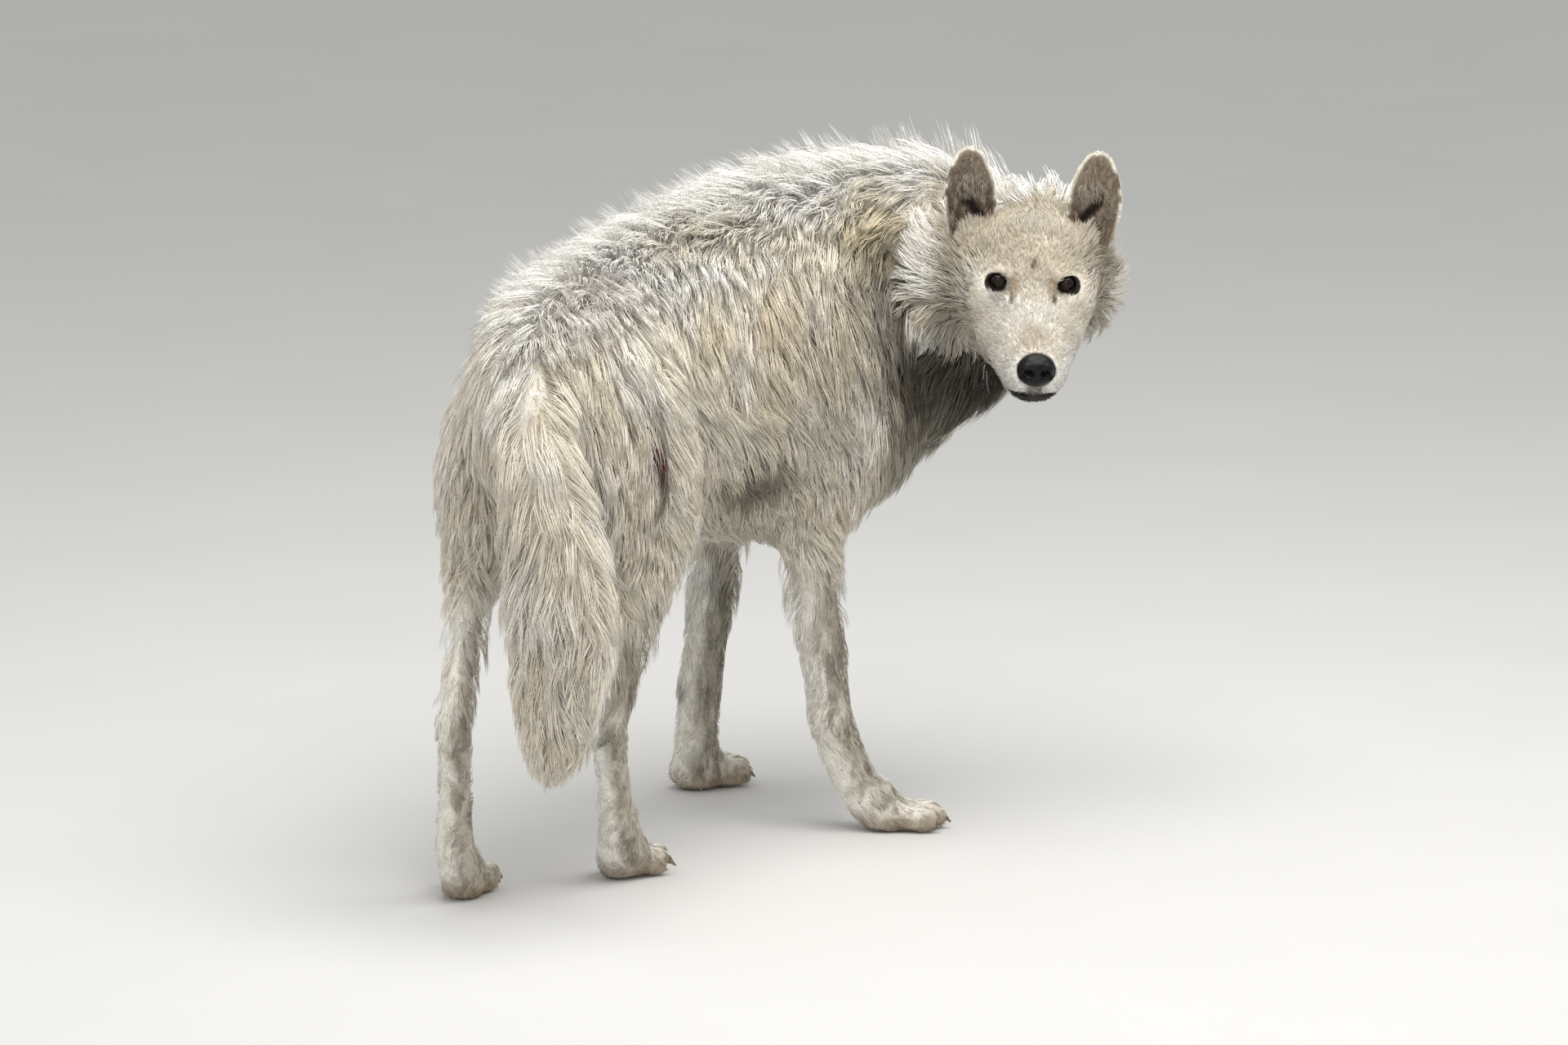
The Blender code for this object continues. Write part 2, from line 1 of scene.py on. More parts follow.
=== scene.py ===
# %% [markdown]
# # An arctic wolf that sheds its winter coat
# This lesson dresses a finished set of plain solids as a life-size museum model of an arctic wolf. The
# solids give the size, the stance and the outline out to the tips of the hair. Here one skin is grown
# inside them, and thousands of solid locks of hair are laid on that skin until they fill the outline
# again. The solids are a fixed frame: every place below is given in it or in the head's own directions,
# in metres.

# %% The frame
import math

import bmesh
import bpy
import numpy as np
from mathutils import Matrix, Vector, noise
from mathutils.bvhtree import BVHTree
from mathutils.kdtree import KDTree


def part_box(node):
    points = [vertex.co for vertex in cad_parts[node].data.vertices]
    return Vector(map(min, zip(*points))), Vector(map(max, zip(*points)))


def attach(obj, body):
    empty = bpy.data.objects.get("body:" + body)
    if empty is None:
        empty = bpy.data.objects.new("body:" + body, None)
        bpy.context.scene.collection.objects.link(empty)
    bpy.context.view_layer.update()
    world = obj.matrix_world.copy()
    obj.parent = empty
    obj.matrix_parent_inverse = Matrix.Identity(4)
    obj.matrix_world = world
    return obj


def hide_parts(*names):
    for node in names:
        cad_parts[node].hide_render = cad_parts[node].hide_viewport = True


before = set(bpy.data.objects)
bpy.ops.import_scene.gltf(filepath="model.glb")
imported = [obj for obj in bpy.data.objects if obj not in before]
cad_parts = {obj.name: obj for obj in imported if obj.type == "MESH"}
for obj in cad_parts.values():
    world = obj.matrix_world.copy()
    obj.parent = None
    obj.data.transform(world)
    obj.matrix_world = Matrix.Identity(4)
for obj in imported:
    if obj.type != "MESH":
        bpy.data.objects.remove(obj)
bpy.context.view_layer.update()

SEED = 20
SHOWN = bpy.context.scene.collection

# %% [markdown]
# ## The head's own directions
# A head is easiest to describe along its own axes: towards the nose, to its left and up. The three of
# them come from the places of the two eyeballs and the nose leather, so they turn with the head of the
# solids. The eyeballs sit a little behind the line between the eyelids, and the nose hangs below the eyes
# by a known angle.

# %% The head's own directions
EYE_BEHIND = 0.012  # from the lids' line back to the eyeballs' middles
NOSE_DROP = math.radians(24.5)


def centre(node):
    low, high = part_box(node)
    return (low + high) / 2


eye_at = {side: centre(f"eye_{side}") for side in ("left", "right")}
nose_at = centre("nose")
to_left = (eye_at["left"] - eye_at["right"]).normalized()
between = (eye_at["left"] + eye_at["right"]) / 2
to_nose = nose_at - between
to_nose -= to_left * to_nose.dot(to_left)
to_front = Matrix.Rotation(-NOSE_DROP, 3, to_left) @ to_nose.normalized()
to_top = to_front.cross(to_left)
head_origin = between + to_front * EYE_BEHIND
head_turn = np.array([to_front, to_left, to_top])


def in_head(points):
    """Points in the head's own directions: forward, left, up from between the eyes."""
    return (np.asarray(points) - np.array(head_origin)) @ head_turn.T


def from_head(points):
    """Points of the head back in the frame."""
    return np.asarray(points) @ head_turn + np.array(head_origin)


print("nose in the head's directions", in_head([nose_at]).round(3))

# %% [markdown]
# ## The camera
# A long lens from twelve metres away keeps the animal's proportions, where a short one from nearby would
# swell whatever is closest. It looks down by eleven degrees, from behind the right flank, so that the
# wolf looks back over its shoulder at it.

# %% The camera
VIEW_HEADING = math.radians(35.0)
VIEW_DROP = math.radians(11.0)
VIEW_DISTANCE = 12.0
VIEW_TARGET = Vector((0.1073, 0.0265, 0.3878))

look = Vector((math.cos(VIEW_HEADING) * math.cos(VIEW_DROP),
               math.sin(VIEW_HEADING) * math.cos(VIEW_DROP),
               -math.sin(VIEW_DROP)))
lens = bpy.data.cameras.new("camera")
lens.lens = 225.0
lens.sensor_width = 36.0
lens.clip_end = 100.0
camera = bpy.data.objects.new("camera", lens)
SHOWN.objects.link(camera)
camera.location = VIEW_TARGET - look * VIEW_DISTANCE
camera.rotation_euler = look.to_track_quat("-Z", "Y").to_euler()
bpy.context.scene.camera = camera
print("camera at", [round(v, 2) for v in camera.location])

# %% [markdown]
# ## Colours
# Paint books and dyers give colours as sRGB hex values. Light in a renderer adds up in linear values, so
# one function turns the first into the second, and every colour in this lesson goes through it.

# %% Colours
def linear(code):
    """An sRGB hex colour as linear red, green and blue."""
    levels = np.array([int(code[i:i + 2], 16) / 255 for i in (1, 3, 5)])
    return np.where(levels <= 0.04045, levels / 12.92, ((levels + 0.055) / 1.055) ** 2.4)


def add_node(tree, kind, settings=None, **inputs):
    """A node with its settings, and its inputs as values or as links from other nodes' outputs."""
    node = tree.nodes.new(kind)
    for name, value in (settings or {}).items():
        setattr(node, name, value)
    for name, value in inputs.items():
        socket = node.inputs[name.replace("_", " ")]
        if isinstance(value, bpy.types.NodeSocket):
            tree.links.new(value, socket)
        else:
            socket.default_value = value
    return node


def shader_of(name):
    """A new material with only its shader and its output, ready for a pattern."""
    made = bpy.data.materials.new(name)
    made.use_nodes = True
    return made, made.node_tree, made.node_tree.nodes["Principled BSDF"]


print("half grey in linear light", linear("#808080").round(3))

# %% [markdown]
# ## Floor and light
# White fur needs soft light, or its own shadows turn to noise. A wide panel overhead does most of the
# work, as an overcast sky does, a weaker one fills in from the camera's side, and the pale floor and
# surroundings lift the shadows under the belly.

# %% Floor and light
FLOOR_RADIUS = 14.0
floor_mesh = bpy.data.meshes.new("floor")
bm = bmesh.new()
bmesh.ops.create_circle(bm, cap_ends=True, segments=96, radius=FLOOR_RADIUS)
bm.to_mesh(floor_mesh)
bm.free()
floor = bpy.data.objects.new("floor", floor_mesh)
SHOWN.objects.link(floor)
paint, tree, shader = shader_of("floor_paint")
coordinates = add_node(tree, "ShaderNodeTexCoord")
grain = add_node(tree, "ShaderNodeTexNoise", Vector=coordinates.outputs["Object"], Scale=3.0, Detail=4.0)
ramp = add_node(tree, "ShaderNodeValToRGB", Fac=grain.outputs["Fac"])
ramp.color_ramp.elements[0].color = (*linear("#CDCDCC"), 1.0)
ramp.color_ramp.elements[1].color = (*linear("#D3D3D2"), 1.0)
tree.links.new(ramp.outputs["Color"], shader.inputs["Base Color"])
shader.inputs["Roughness"].default_value = 0.9
floor_mesh.materials.append(paint)

surroundings = bpy.data.worlds.new("surroundings")
surroundings.use_nodes = True
glow = surroundings.node_tree.nodes["Background"]
glow.inputs["Color"].default_value = (*linear("#EEEEEC"), 1.0)
glow.inputs["Strength"].default_value = 0.72
bpy.context.scene.world = surroundings


def add_panel(name, place, size, power, colour):
    """A square light panel that faces the middle of the wolf."""
    panel = bpy.data.lights.new(name, "AREA")
    panel.shape = "SQUARE"
    panel.size = size
    panel.energy = power
    panel.color = tuple(linear(colour))
    lamp = bpy.data.objects.new(name, panel)
    lamp.location = place
    lamp.rotation_euler = (Vector((0.0, 0.0, 0.45)) - lamp.location).to_track_quat("-Z", "Y").to_euler()
    SHOWN.objects.link(lamp)
    return lamp


add_panel("sky_panel", Vector((-0.3, -0.8, 3.4)), 3.0, 134.0, "#FFFDF9")
add_panel("fill_panel", Vector((-4.0, -2.6, 1.8)), 2.5, 25.0, "#FBFBFB")
bpy.context.scene.view_settings.view_transform = "Standard"

# %% [markdown]
# ## How deep the coat is
# A wolf is a lean animal in a thick coat: about two finger-widths of hair on the flanks, more on the mane
# and the ruff, and almost none on the nose and the feet. The skin lies under the solids by this depth,
# and the locks later rise from the skin by the same depth. So the first thing to know of any point is its
# depth.

# %% How deep the coat is
FLESH = [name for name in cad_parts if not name.startswith(("eye_", "nose")) and "_claw_" not in name]
HOLLOW_NODES = ("ear_left", "ear_right")
COAT = {"trunk": 0.029, "neck": 0.034, "tail_upper": 0.034, "tail_lower": 0.028}
MANE_EXTRA = 0.014  # more along the back
TAIL_TIP_COAT = 0.0100
LEG_COAT = 0.0045
THIGH_COAT = 0.023
FOOT_COAT = 0.0020
MUZZLE_COAT = 0.0022
CROWN_COAT = 0.0082
NAPE_COAT = 0.0200  # over the back of the skull
RUFF_COAT = 0.0280
EAR_FOOT = (-0.090, 0.078, 0.036)  # in the head's directions
EAR_FOOT_COAT = 0.0120
EAR_COAT = 0.0016


def step(low, high, values):
    """0 below low, 1 above high, and a smooth rise between. low may be the larger."""
    share = np.clip((values - low) / (high - low), 0.0, 1.0)
    return share * share * (3 - 2 * share)


def mix(a, b, share):
    """a where the share is 0, b where it is 1."""
    return a + (b - a) * share


def one_side(places):
    """Points in the head's directions, those of its right side mirrored to the left."""
    return np.column_stack((places[:, 0], np.abs(places[:, 1]), places[:, 2]))


def ear_foot_distance(places):
    """Distance from the foot of either ear, for points in the head's directions."""
    return np.linalg.norm(one_side(places) - EAR_FOOT, axis=1)


def head_depth(points):
    """The coat's depth on the head: bare muzzle, short crown, deep ruff."""
    places = in_head(points)
    front, side, top = one_side(places).T
    crown_share = step(-0.035, 0.015, top) * step(0.100, 0.070, side)
    nape_share = step(-0.030, -0.100, front) * step(0.066, 0.036, side) * step(0.020, 0.045, top)
    deep = mix(RUFF_COAT, CROWN_COAT, crown_share)
    deep = mix(deep, EAR_FOOT_COAT, step(0.056, 0.022, ear_foot_distance(places)))
    deep = mix(deep, NAPE_COAT, nape_share)
    return mix(deep, MUZZLE_COAT, step(-0.075, 0.002, front - 0.12 * side))


def coat_depth(points, normals, owner):
    """The depth at each point of the outer surface, from the solid that it belongs to."""
    depth = np.full(len(points), LEG_COAT)
    height = points[:, 2]
    for name in FLESH:
        mine = owner == FLESH.index(name)
        if name in COAT:
            depth[mine] = COAT[name]
        elif name == "head":
            depth[mine] = head_depth(points[mine])
        elif name.endswith("_foot"):
            depth[mine] = mix(FOOT_COAT, LEG_COAT, step(0.04, 0.13, height[mine]))
        elif name.endswith(("_shank", "_forearm")):
            depth[mine] = mix(LEG_COAT, THIGH_COAT, step(0.20, 0.38, height[mine]))
    tip = owner == FLESH.index("tail_lower")
    depth[tip] = mix(TAIL_TIP_COAT, COAT["tail_lower"], step(0.16, 0.28, height[tip]))
    on_trunk = owner == FLESH.index("trunk")
    depth[on_trunk] = mix(THIGH_COAT * 0.9, COAT["trunk"], step(0.40, 0.58, height[on_trunk]))
    high = on_trunk | (owner == FLESH.index("neck"))
    depth[high] += MANE_EXTRA * (step(0.55, 0.92, normals[:, 2]) * step(0.62, 0.72, height))[high]
    return depth


print("flesh", FLESH)

# %% [markdown]
# ## The skin
# One way to make a skin is to model it by hand inside the solids. It is quicker and truer to let the
# solids become it: copies of them are joined, rebuilt as one even mesh of small squares, which closes the
# hairline gaps between neck, trunk and legs, and then drawn in along their normals in small steps, a
# tenth of the coat's depth at a time, with a little smoothing so that nothing folds over. Ears are thin,
# so they keep their own mesh.

# %% The skin, as one even mesh
SKIN_VOXEL = 0.0064
STEPS = 10


def merged(node):
    """A copy of a solid's mesh whose loose triangles are merged."""
    bm = bmesh.new()
    bm.from_mesh(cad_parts[node].data)
    bmesh.ops.remove_doubles(bm, verts=bm.verts, dist=1e-5)
    return bm


def as_mesh(bm, name):
    """Ends a bmesh as a mesh of that name."""
    mesh = bpy.data.meshes.new(name)
    bm.to_mesh(mesh)
    bm.free()
    return mesh


def positions(mesh, what="co"):
    """Places of the mesh's points, or their normals."""
    values = np.empty(len(mesh.vertices) * 3)
    mesh.vertices.foreach_get(what, values)
    return values.reshape(-1, 3)


def place(mesh, points):
    """Moves the mesh's points to these places."""
    mesh.vertices.foreach_set("co", np.ascontiguousarray(points).ravel())
    mesh.update()


solid_points, solid_faces, solid_owner = [], [], []
for number, node in enumerate(FLESH):
    bm = merged(node)
    offset = len(solid_points)
    solid_points += [v.co.copy() for v in bm.verts]
    solid_faces += [[v.index + offset for v in f.verts] for f in bm.faces]
    solid_owner += [number] * len(bm.faces)
    bm.free()
outer = BVHTree.FromPolygons(solid_points, solid_faces)


def owners(points):
    """Which solid each point is nearest to."""
    return np.array([solid_owner[outer.find_nearest(Vector(p))[2]] for p in points])


joined = bmesh.new()
for node in FLESH:
    if node not in HOLLOW_NODES:
        part = as_mesh(merged(node), "part")
        joined.from_mesh(part)
        bpy.data.meshes.remove(part)
skin_mesh = as_mesh(joined, "skin")
skin = bpy.data.objects.new("skin", skin_mesh)
SHOWN.objects.link(skin)
rebuild = skin.modifiers.new("rebuild", "REMESH")
rebuild.mode = "VOXEL"
rebuild.voxel_size = SKIN_VOXEL
even = bpy.data.meshes.new_from_object(skin.evaluated_get(bpy.context.evaluated_depsgraph_get()))
skin.modifiers.remove(rebuild)
skin.data = even
print("even mesh", len(even.vertices), "vertices")


# %% The skin, drawn in by the coat's depth
def neighbour_lists(mesh):
    """The two points of each edge."""
    edges = np.empty(len(mesh.edges) * 2, int)
    mesh.edges.foreach_get("vertices", edges)
    return edges.reshape(-1, 2)


def smoothed(values, edges, times, share=0.5):
    """Values at the vertices, each drawn towards the mean of its neighbours."""
    values = np.array(values, float)
    flat = values.reshape(len(values), -1)
    count = np.bincount(edges.ravel(), minlength=len(flat))[:, None] + 1e-9
    for _ in range(times):
        total = np.empty_like(flat)
        for column in range(flat.shape[1]):
            total[:, column] = (np.bincount(edges[:, 0], flat[edges[:, 1], column], len(flat))
                                + np.bincount(edges[:, 1], flat[edges[:, 0], column], len(flat)))
        flat += (total / count - flat) * share
    return flat.reshape(values.shape)


points = positions(even)
edges = neighbour_lists(even)
owner = owners(points)
depth = coat_depth(points, positions(even, "normal"), owner)
depth = smoothed(depth, edges, 24)
for _ in range(STEPS):
    place(even, points)
    points = points - positions(even, "normal") * (depth / STEPS)[:, None]
    softer = smoothed(points, edges, 2)
    points = mix(points, softer, step(0.006, 0.020, depth)[:, None])
place(even, points)
print("depth from", depth.min().round(4), "to", depth.max().round(4))

# %% [markdown]
# ## A finer face
# The body's skin is hidden under hair, so six millimetres between its points is plenty. A face is looked
# at from close by. Its squares are divided once over the whole front of the head, and once more round the
# eyes, the nose and the lips. Then the new points are smoothed, because dividing flat squares alone adds
# no roundness.

# %% A finer face and finer toes
TOE_REACH = 0.050  # how far from its claw a toe is made finer
FACE_SIDE = 0.13  # how far to either side the face is made finer
EYE_SIDE, EYE_REACH = 0.041, 0.030  # where an eye is, and how far round it the skin is made finest
MOUTH = np.array([  # half of the lip line in the head's directions, from the middle to the corner
    (0.1240, 0.000, -0.0940),
    (0.1185, 0.013, -0.0955),
    (0.1080, 0.025, -0.0945),
    (0.0850, 0.035, -0.0910),
    (0.0550, 0.044, -0.0880),
    (0.0250, 0.052, -0.0840),
])


def line_distance(points, line):
    """How far each point is from a line of several straight stretches."""
    nearest = np.full(len(points), 1e9)
    for a, b in zip(line, line[1:]):
        share = np.clip((points - a) @ (b - a) / ((b - a) @ (b - a)), 0.0, 1.0)
        nearest = np.minimum(nearest, np.linalg.norm(points - (a + share[:, None] * (b - a)), axis=1))
    return nearest


def mouth_distance(places):
    """Distance from the lip line of either side, for points in the head's directions."""
    return line_distance(one_side(places), MOUTH)


def divide(bm, wanted):
    """Divides the faces whose every point is wanted."""
    faces = [f for f in bm.faces if all(wanted[v.index] for v in f.verts)]
    edges = list({e for f in faces for e in f.edges})
    bmesh.ops.subdivide_edges(bm, edges=edges, cuts=1, use_grid_fill=True)
    bm.verts.index_update()
    bm.faces.ensure_lookup_table()


def soften(bm, verts, factor, times):
    """Draws points towards their neighbours, that many times."""
    for _ in range(times):
        bmesh.ops.smooth_vert(bm, verts=verts, factor=factor, use_axis_x=True, use_axis_y=True,
                              use_axis_z=True)


def tree_of(spots):
    """A search tree that finds the nearest of the spots, and its number."""
    tree = KDTree(len(spots))
    for i, spot in enumerate(spots):
        tree.insert(spot, i)
    tree.balance()
    return tree


claw_at = {name: centre(name) for name in sorted(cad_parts) if "_claw_" in name}
claws = tree_of(claw_at.values())

bm = bmesh.new()
bm.from_mesh(even)
for reach in (0, 1):
    places = in_head([v.co for v in bm.verts])
    front, side, top = places.T
    if reach == 0:
        wanted = (front > -0.085) & (np.abs(side) < FACE_SIDE) & (top > -0.13) & (top < 0.10)
        wanted |= np.array([claws.find(v.co)[2] < TOE_REACH for v in bm.verts])
    else:
        eyes = np.hypot(np.hypot(front, np.abs(side) - EYE_SIDE), top) < EYE_REACH
        wanted = eyes | ((front > 0.085) & (np.abs(side) < 0.06)) | (mouth_distance(places) < 0.008)
    divide(bm, wanted)
    places = in_head([v.co for v in bm.verts])
    fine = [v for v, p in zip(bm.verts, places)
            if p[0] > -0.10 and abs(p[1]) < FACE_SIDE and -0.14 < p[2] < 0.10]
    soften(bm, fine, 0.4, 3)
bmesh.ops.triangulate(bm, faces=bm.faces)
bm.normal_update()
body_mesh = as_mesh(bm, "skin")
skin.data = body_mesh
print("skin", len(body_mesh.polygons), "triangles")

# %% [markdown]
# ## Folds of the face
# The solids have the broad forms of brow, muzzle and cheek. What they lack is narrower than their facets:
# the lip line, the furrow between the brows, the channel from each eye's inner corner. Each is pressed
# into the finer mesh with a soft-edged stroke, as a modeller presses clay with a tool.

# %% Folds of the face
STROKES = [  # line in the head's directions, half width, depth. Lines off the middle are mirrored.
    (np.array([(0.030, 0.000, -0.010), (-0.010, 0.000, 0.030), (-0.050, 0.000, 0.062)]), 0.0090, 0.0016),
    (np.array([(0.006, 0.030, -0.008), (0.026, 0.022, -0.024), (0.046, 0.018, -0.034)]), 0.0060, 0.0014),
    (np.array([(0.100, 0.036, -0.070), (0.070, 0.044, -0.066), (0.040, 0.052, -0.062)]), 0.0050, 0.0007),
]
GROOVE_LENGTH, GROOVE_WIDTH, GROOVE_DEPTH = 0.030, 0.0085, 0.0050  # between neighbouring toes
LIP_WIDTH = 0.0042
LIP_DEPTH = 0.0030
LIP_SWELL = 0.0010  # how far the lower lip stands out, under the lip line
CHIN_PINCH = 0.06  # how much narrower the chin is than the muzzle over it

places = in_head(positions(body_mesh))
normals = positions(body_mesh, "normal") @ head_turn.T
grooves = []
for name, spot in claw_at.items():
    following = claw_at.get(name[:-1] + str(int(name[-1]) + 1))
    if following is not None:
        ankle = centre(name.split("_claw_")[0] + "_foot")
        between_toes = (spot + following) / 2
        inward = (ankle - between_toes) * Vector((1, 1, 0))
        top_end = between_toes + inward.normalized() * GROOVE_LENGTH + Vector((0, 0, 0.022))
        low_end = between_toes + Vector((0, 0, -0.006))
        bend = between_toes + Vector((0, 0, 0.012))
        grooves.append(np.array([low_end, bend, top_end]))
mirrored = one_side(places)
muzzle = (places[:, 0] < 0.140) & (mirrored[:, 1] < 0.070) & (places[:, 2] > -0.125)
narrow = muzzle * CHIN_PINCH * step(-0.070, -0.098, places[:, 2]) * step(0.045, 0.105, places[:, 0])
places[:, 1] *= 1 - narrow
mirrored[:, 1] *= 1 - narrow
pressed = LIP_DEPTH * step(1.0, 0.0, mouth_distance(places) / LIP_WIDTH)
for line, wide, deep in STROKES:
    pressed += deep * step(1.0, 0.0, line_distance(mirrored, line) / wide)
for line in grooves:
    pressed += GROOVE_DEPTH * step(1.0, 0.0, line_distance(from_head(places), line) / GROOVE_WIDTH)
lip_below = mouth_distance(places + (0.0, 0.0, 0.0055)) / 0.005
pressed -= LIP_SWELL * step(1.0, 0.0, lip_below)
pressed_points = from_head(places - normals * pressed[:, None])
pressed_points[:, 2] = np.maximum(pressed_points[:, 2], 0.0)
place(body_mesh, pressed_points)
print("points pressed", int((pressed > 1e-4).sum()))

# %% [markdown]
# ## Ears
# An ear is a cupped leaf of gristle with short velvet on both sides. Each ear of the solids is copied,
# rounded by subdivision and made thinner by the depth of its velvet, then joined to the same skin.

# %% Ears
EAR_TIP = 0.019  # how far under its tip an ear is rounded
TIP_WIDENING = 0.34
TIP_DROP = 0.0030


def round_tip(bm):
    """Widens an ear's leaf just under its tip, so that it doesn't end in a point."""
    places = in_head([v.co for v in bm.verts])
    tip = places[places[:, 2].argmax()].copy()
    near = step(tip[2] - EAR_TIP, tip[2], places[:, 2])
    places[:, 1] = tip[1] + (places[:, 1] - tip[1]) * (1 + TIP_WIDENING * near)
    places[:, 2] -= TIP_DROP * near ** 2
    for vert, spot in zip(bm.verts, from_head(places)):
        vert.co = spot


def ear_skin(node):
    """A finer, thinner copy of one ear."""
    bm = merged(node)
    bmesh.ops.subdivide_edges(bm, edges=bm.edges[:], cuts=1, use_grid_fill=True)
    soften(bm, bm.verts[:], 0.45, 3)
    round_tip(bm)
    bmesh.ops.triangulate(bm, faces=bm.faces[:])
    bmesh.ops.subdivide_edges(bm, edges=bm.edges[:], cuts=1)
    bmesh.ops.triangulate(bm, faces=bm.faces[:])
    bm.normal_update()
    for vert in bm.verts:
        vert.co -= vert.normal * EAR_COAT * 0.5
    return as_mesh(bm, node)


whole = bmesh.new()
whole.from_mesh(body_mesh)
for node in HOLLOW_NODES:
    ear = ear_skin(node)
    whole.from_mesh(ear)
    bpy.data.meshes.remove(ear)
skin_mesh = as_mesh(whole, "skin")
skin.data = skin_mesh
print("skin with ears", len(skin_mesh.polygons), "triangles")

# %% [markdown]
# ## Eyelids
# The lids are a soft ring over the eyeball: a bare black margin that touches the ball, a rounded edge,
# and a fold that runs out into the face. A stack of rings shows this well. Each ring is an almond whose
# inner corner is drawn out and lower, and the outermost lies just under the skin, so that the lid grows
# out of it.

# %% Eyelids
BALL = 0.0130
GAZE_OUT = 0.40  # the eyes look a little outwards
GAZE_UP = 0.06
LID_SLANT = math.radians(16.0)
OPENING = (0.0122, 0.0102, 0.0090)  # half width, upward and downward reach of the opening
LID_RINGS = [  # share of the opening, radius round the ball's middle, height over the skin it lies on
    (0.90, 0.0131, None),
    (0.98, 0.0145, None),
    (1.10, 0.0150, None),
    (1.22, None, 0.0013),
    (1.50, None, 0.0006),
    (1.85, None, -0.0014),
]
LID_SIDES = 40
INNER_CORNER = 0.0050  # how far the inner corner is drawn out
LID_REACH = 0.0150  # how far over the ball's middle a ring that has no radius looks for the skin
LID_LEAST = 0.0045  # no ring comes nearer to the ball's middle, along the gaze


def eye_directions(side):
    """Out of the eye, across it to its outer corner, and up, in the head's directions."""
    hand = 1 if side == "left" else -1
    out = np.array((1.0, hand * GAZE_OUT, GAZE_UP))
    out /= np.linalg.norm(out)
    across = np.cross((0.0, 0.0, 1.0), out) * hand
    across /= np.linalg.norm(across)
    up = np.cross(out, across) * hand
    slanted = across * math.cos(LID_SLANT) + up * math.sin(LID_SLANT)
    return out, slanted, np.cross(out, slanted) * hand


def lid_place(side, share, radius, height, angle, ground):
    """A point of one lid ring, in the frame."""
    out, across, up = eye_directions(side)
    wide, over, under = OPENING
    sideways = share * (wide * math.cos(angle) - INNER_CORNER * max(0.0, -math.cos(angle)) ** 5)
    upward = share * (over if math.sin(angle) > 0 else under) * math.sin(angle)
    reach = radius or LID_REACH
    outward = math.sqrt(max(reach ** 2 - sideways ** 2 - upward ** 2, LID_LEAST ** 2))
    ball = in_head([eye_at[side]])[0]
    spot = Vector(from_head([ball + across * sideways + up * upward + out * outward])[0])
    if radius is None:
        near, normal, _, _ = ground.find_nearest(spot)
        spot = near + normal * height
    return spot


bm = bmesh.new()
bm.from_mesh(body_mesh)
ground = BVHTree.FromBMesh(bm)
bm.free()
whole = bmesh.new()
whole.from_mesh(skin_mesh)
lid_start = len(whole.faces)
for side in eye_at:
    loops = []
    for share, radius, height in LID_RINGS:
        ring = bmesh.ops.create_circle(whole, segments=LID_SIDES, radius=0.01)["verts"]
        for i, vert in enumerate(ring):
            vert.co = lid_place(side, share, radius, height, 2 * math.pi * i / LID_SIDES, ground)
        loops.append([e for e in {e for v in ring for e in v.link_edges}])
    lid_faces = []
    for inner, outer_loop in zip(loops, loops[1:]):
        lid_faces += bmesh.ops.bridge_loops(whole, edges=inner + outer_loop)["faces"]
    out = Vector(eye_directions(side)[0] @ head_turn)
    facing = sum((f.normal_update() or f.normal.dot(out)) * f.calc_area() for f in lid_faces)
    if facing < 0:
        bmesh.ops.reverse_faces(whole, faces=lid_faces)
bmesh.ops.triangulate(whole, faces=[f for f in whole.faces if len(f.verts) > 3])
skin_mesh = as_mesh(whole, "skin")
skin.data = skin_mesh
print("lids", len(skin_mesh.polygons) - lid_start, "triangles")

# %% [markdown]
# ## What each point of the skin carries
# Each point of the skin now gets the depth of coat over it, which solid it belongs to, and the way the
# hair lies there. Hair grows away from the nose, over the brow and cheeks and back along the neck. On the
# trunk it runs back along the spine and down the sides, on the legs and tail it hangs down, and on the
# feet it points to the toes. The directions are smoothed over the mesh, so that they turn gently from one
# part to the next.

# %% What each point of the skin carries
SPINE_HEADINGS = (math.radians(18.0), math.radians(-18.0))  # at the pelvis and at the shoulders
PELVIS_X, SHOULDER_X = -0.309, 0.275
SPINE_Y, SPINE_BOW = 0.070, 0.047  # the line of the back at its ends, and its bow to the left between them

NECK_START = Vector((0.185, 0.096, 0.620))  # between the shoulders
NAPE = (-0.150, 0.0, -0.035)  # in the head's directions
NECK_RUNS = (0.42, 0.30)  # how strongly the neck's line keeps its headings at its two ends

skin_points = positions(skin_mesh)
skin_normals = positions(skin_mesh, "normal")
skin_edges = neighbour_lists(skin_mesh)
body_count = len(body_mesh.vertices)
nearest = tree_of(positions(even))
found = np.array([nearest.find(p)[1] for p in skin_points])
skin_owner = owner[found]
skin_depth = depth[found]
first_lid_point = len(skin_points) - 2 * LID_SIDES * len(LID_RINGS)
is_ear = np.zeros(len(skin_points), bool)
is_ear[body_count:first_lid_point] = True
is_lid = np.zeros(len(skin_points), bool)
is_lid[first_lid_point:] = True
skin_depth[is_ear] = EAR_COAT
skin_depth[is_lid] = MUZZLE_COAT
head_places = in_head(skin_points)


def unit(vectors):
    """The vectors, each one long."""
    return vectors / (np.linalg.norm(vectors, axis=1, keepdims=True) + 1e-9)


def part_mask(*words):
    """Which skin points belong to a solid whose name has one of the words."""
    wanted = [i for i, name in enumerate(FLESH) if any(word in name for word in words)]
    return np.isin(skin_owner, wanted)


on_head = (part_mask("head") | is_ear | is_lid)
on_trunk = part_mask("trunk") & ~is_ear & ~is_lid
on_neck = part_mask("neck") & ~is_ear & ~is_lid
on_tail = part_mask("tail")
on_leg = part_mask("_shank", "_forearm")
on_foot = part_mask("_foot")


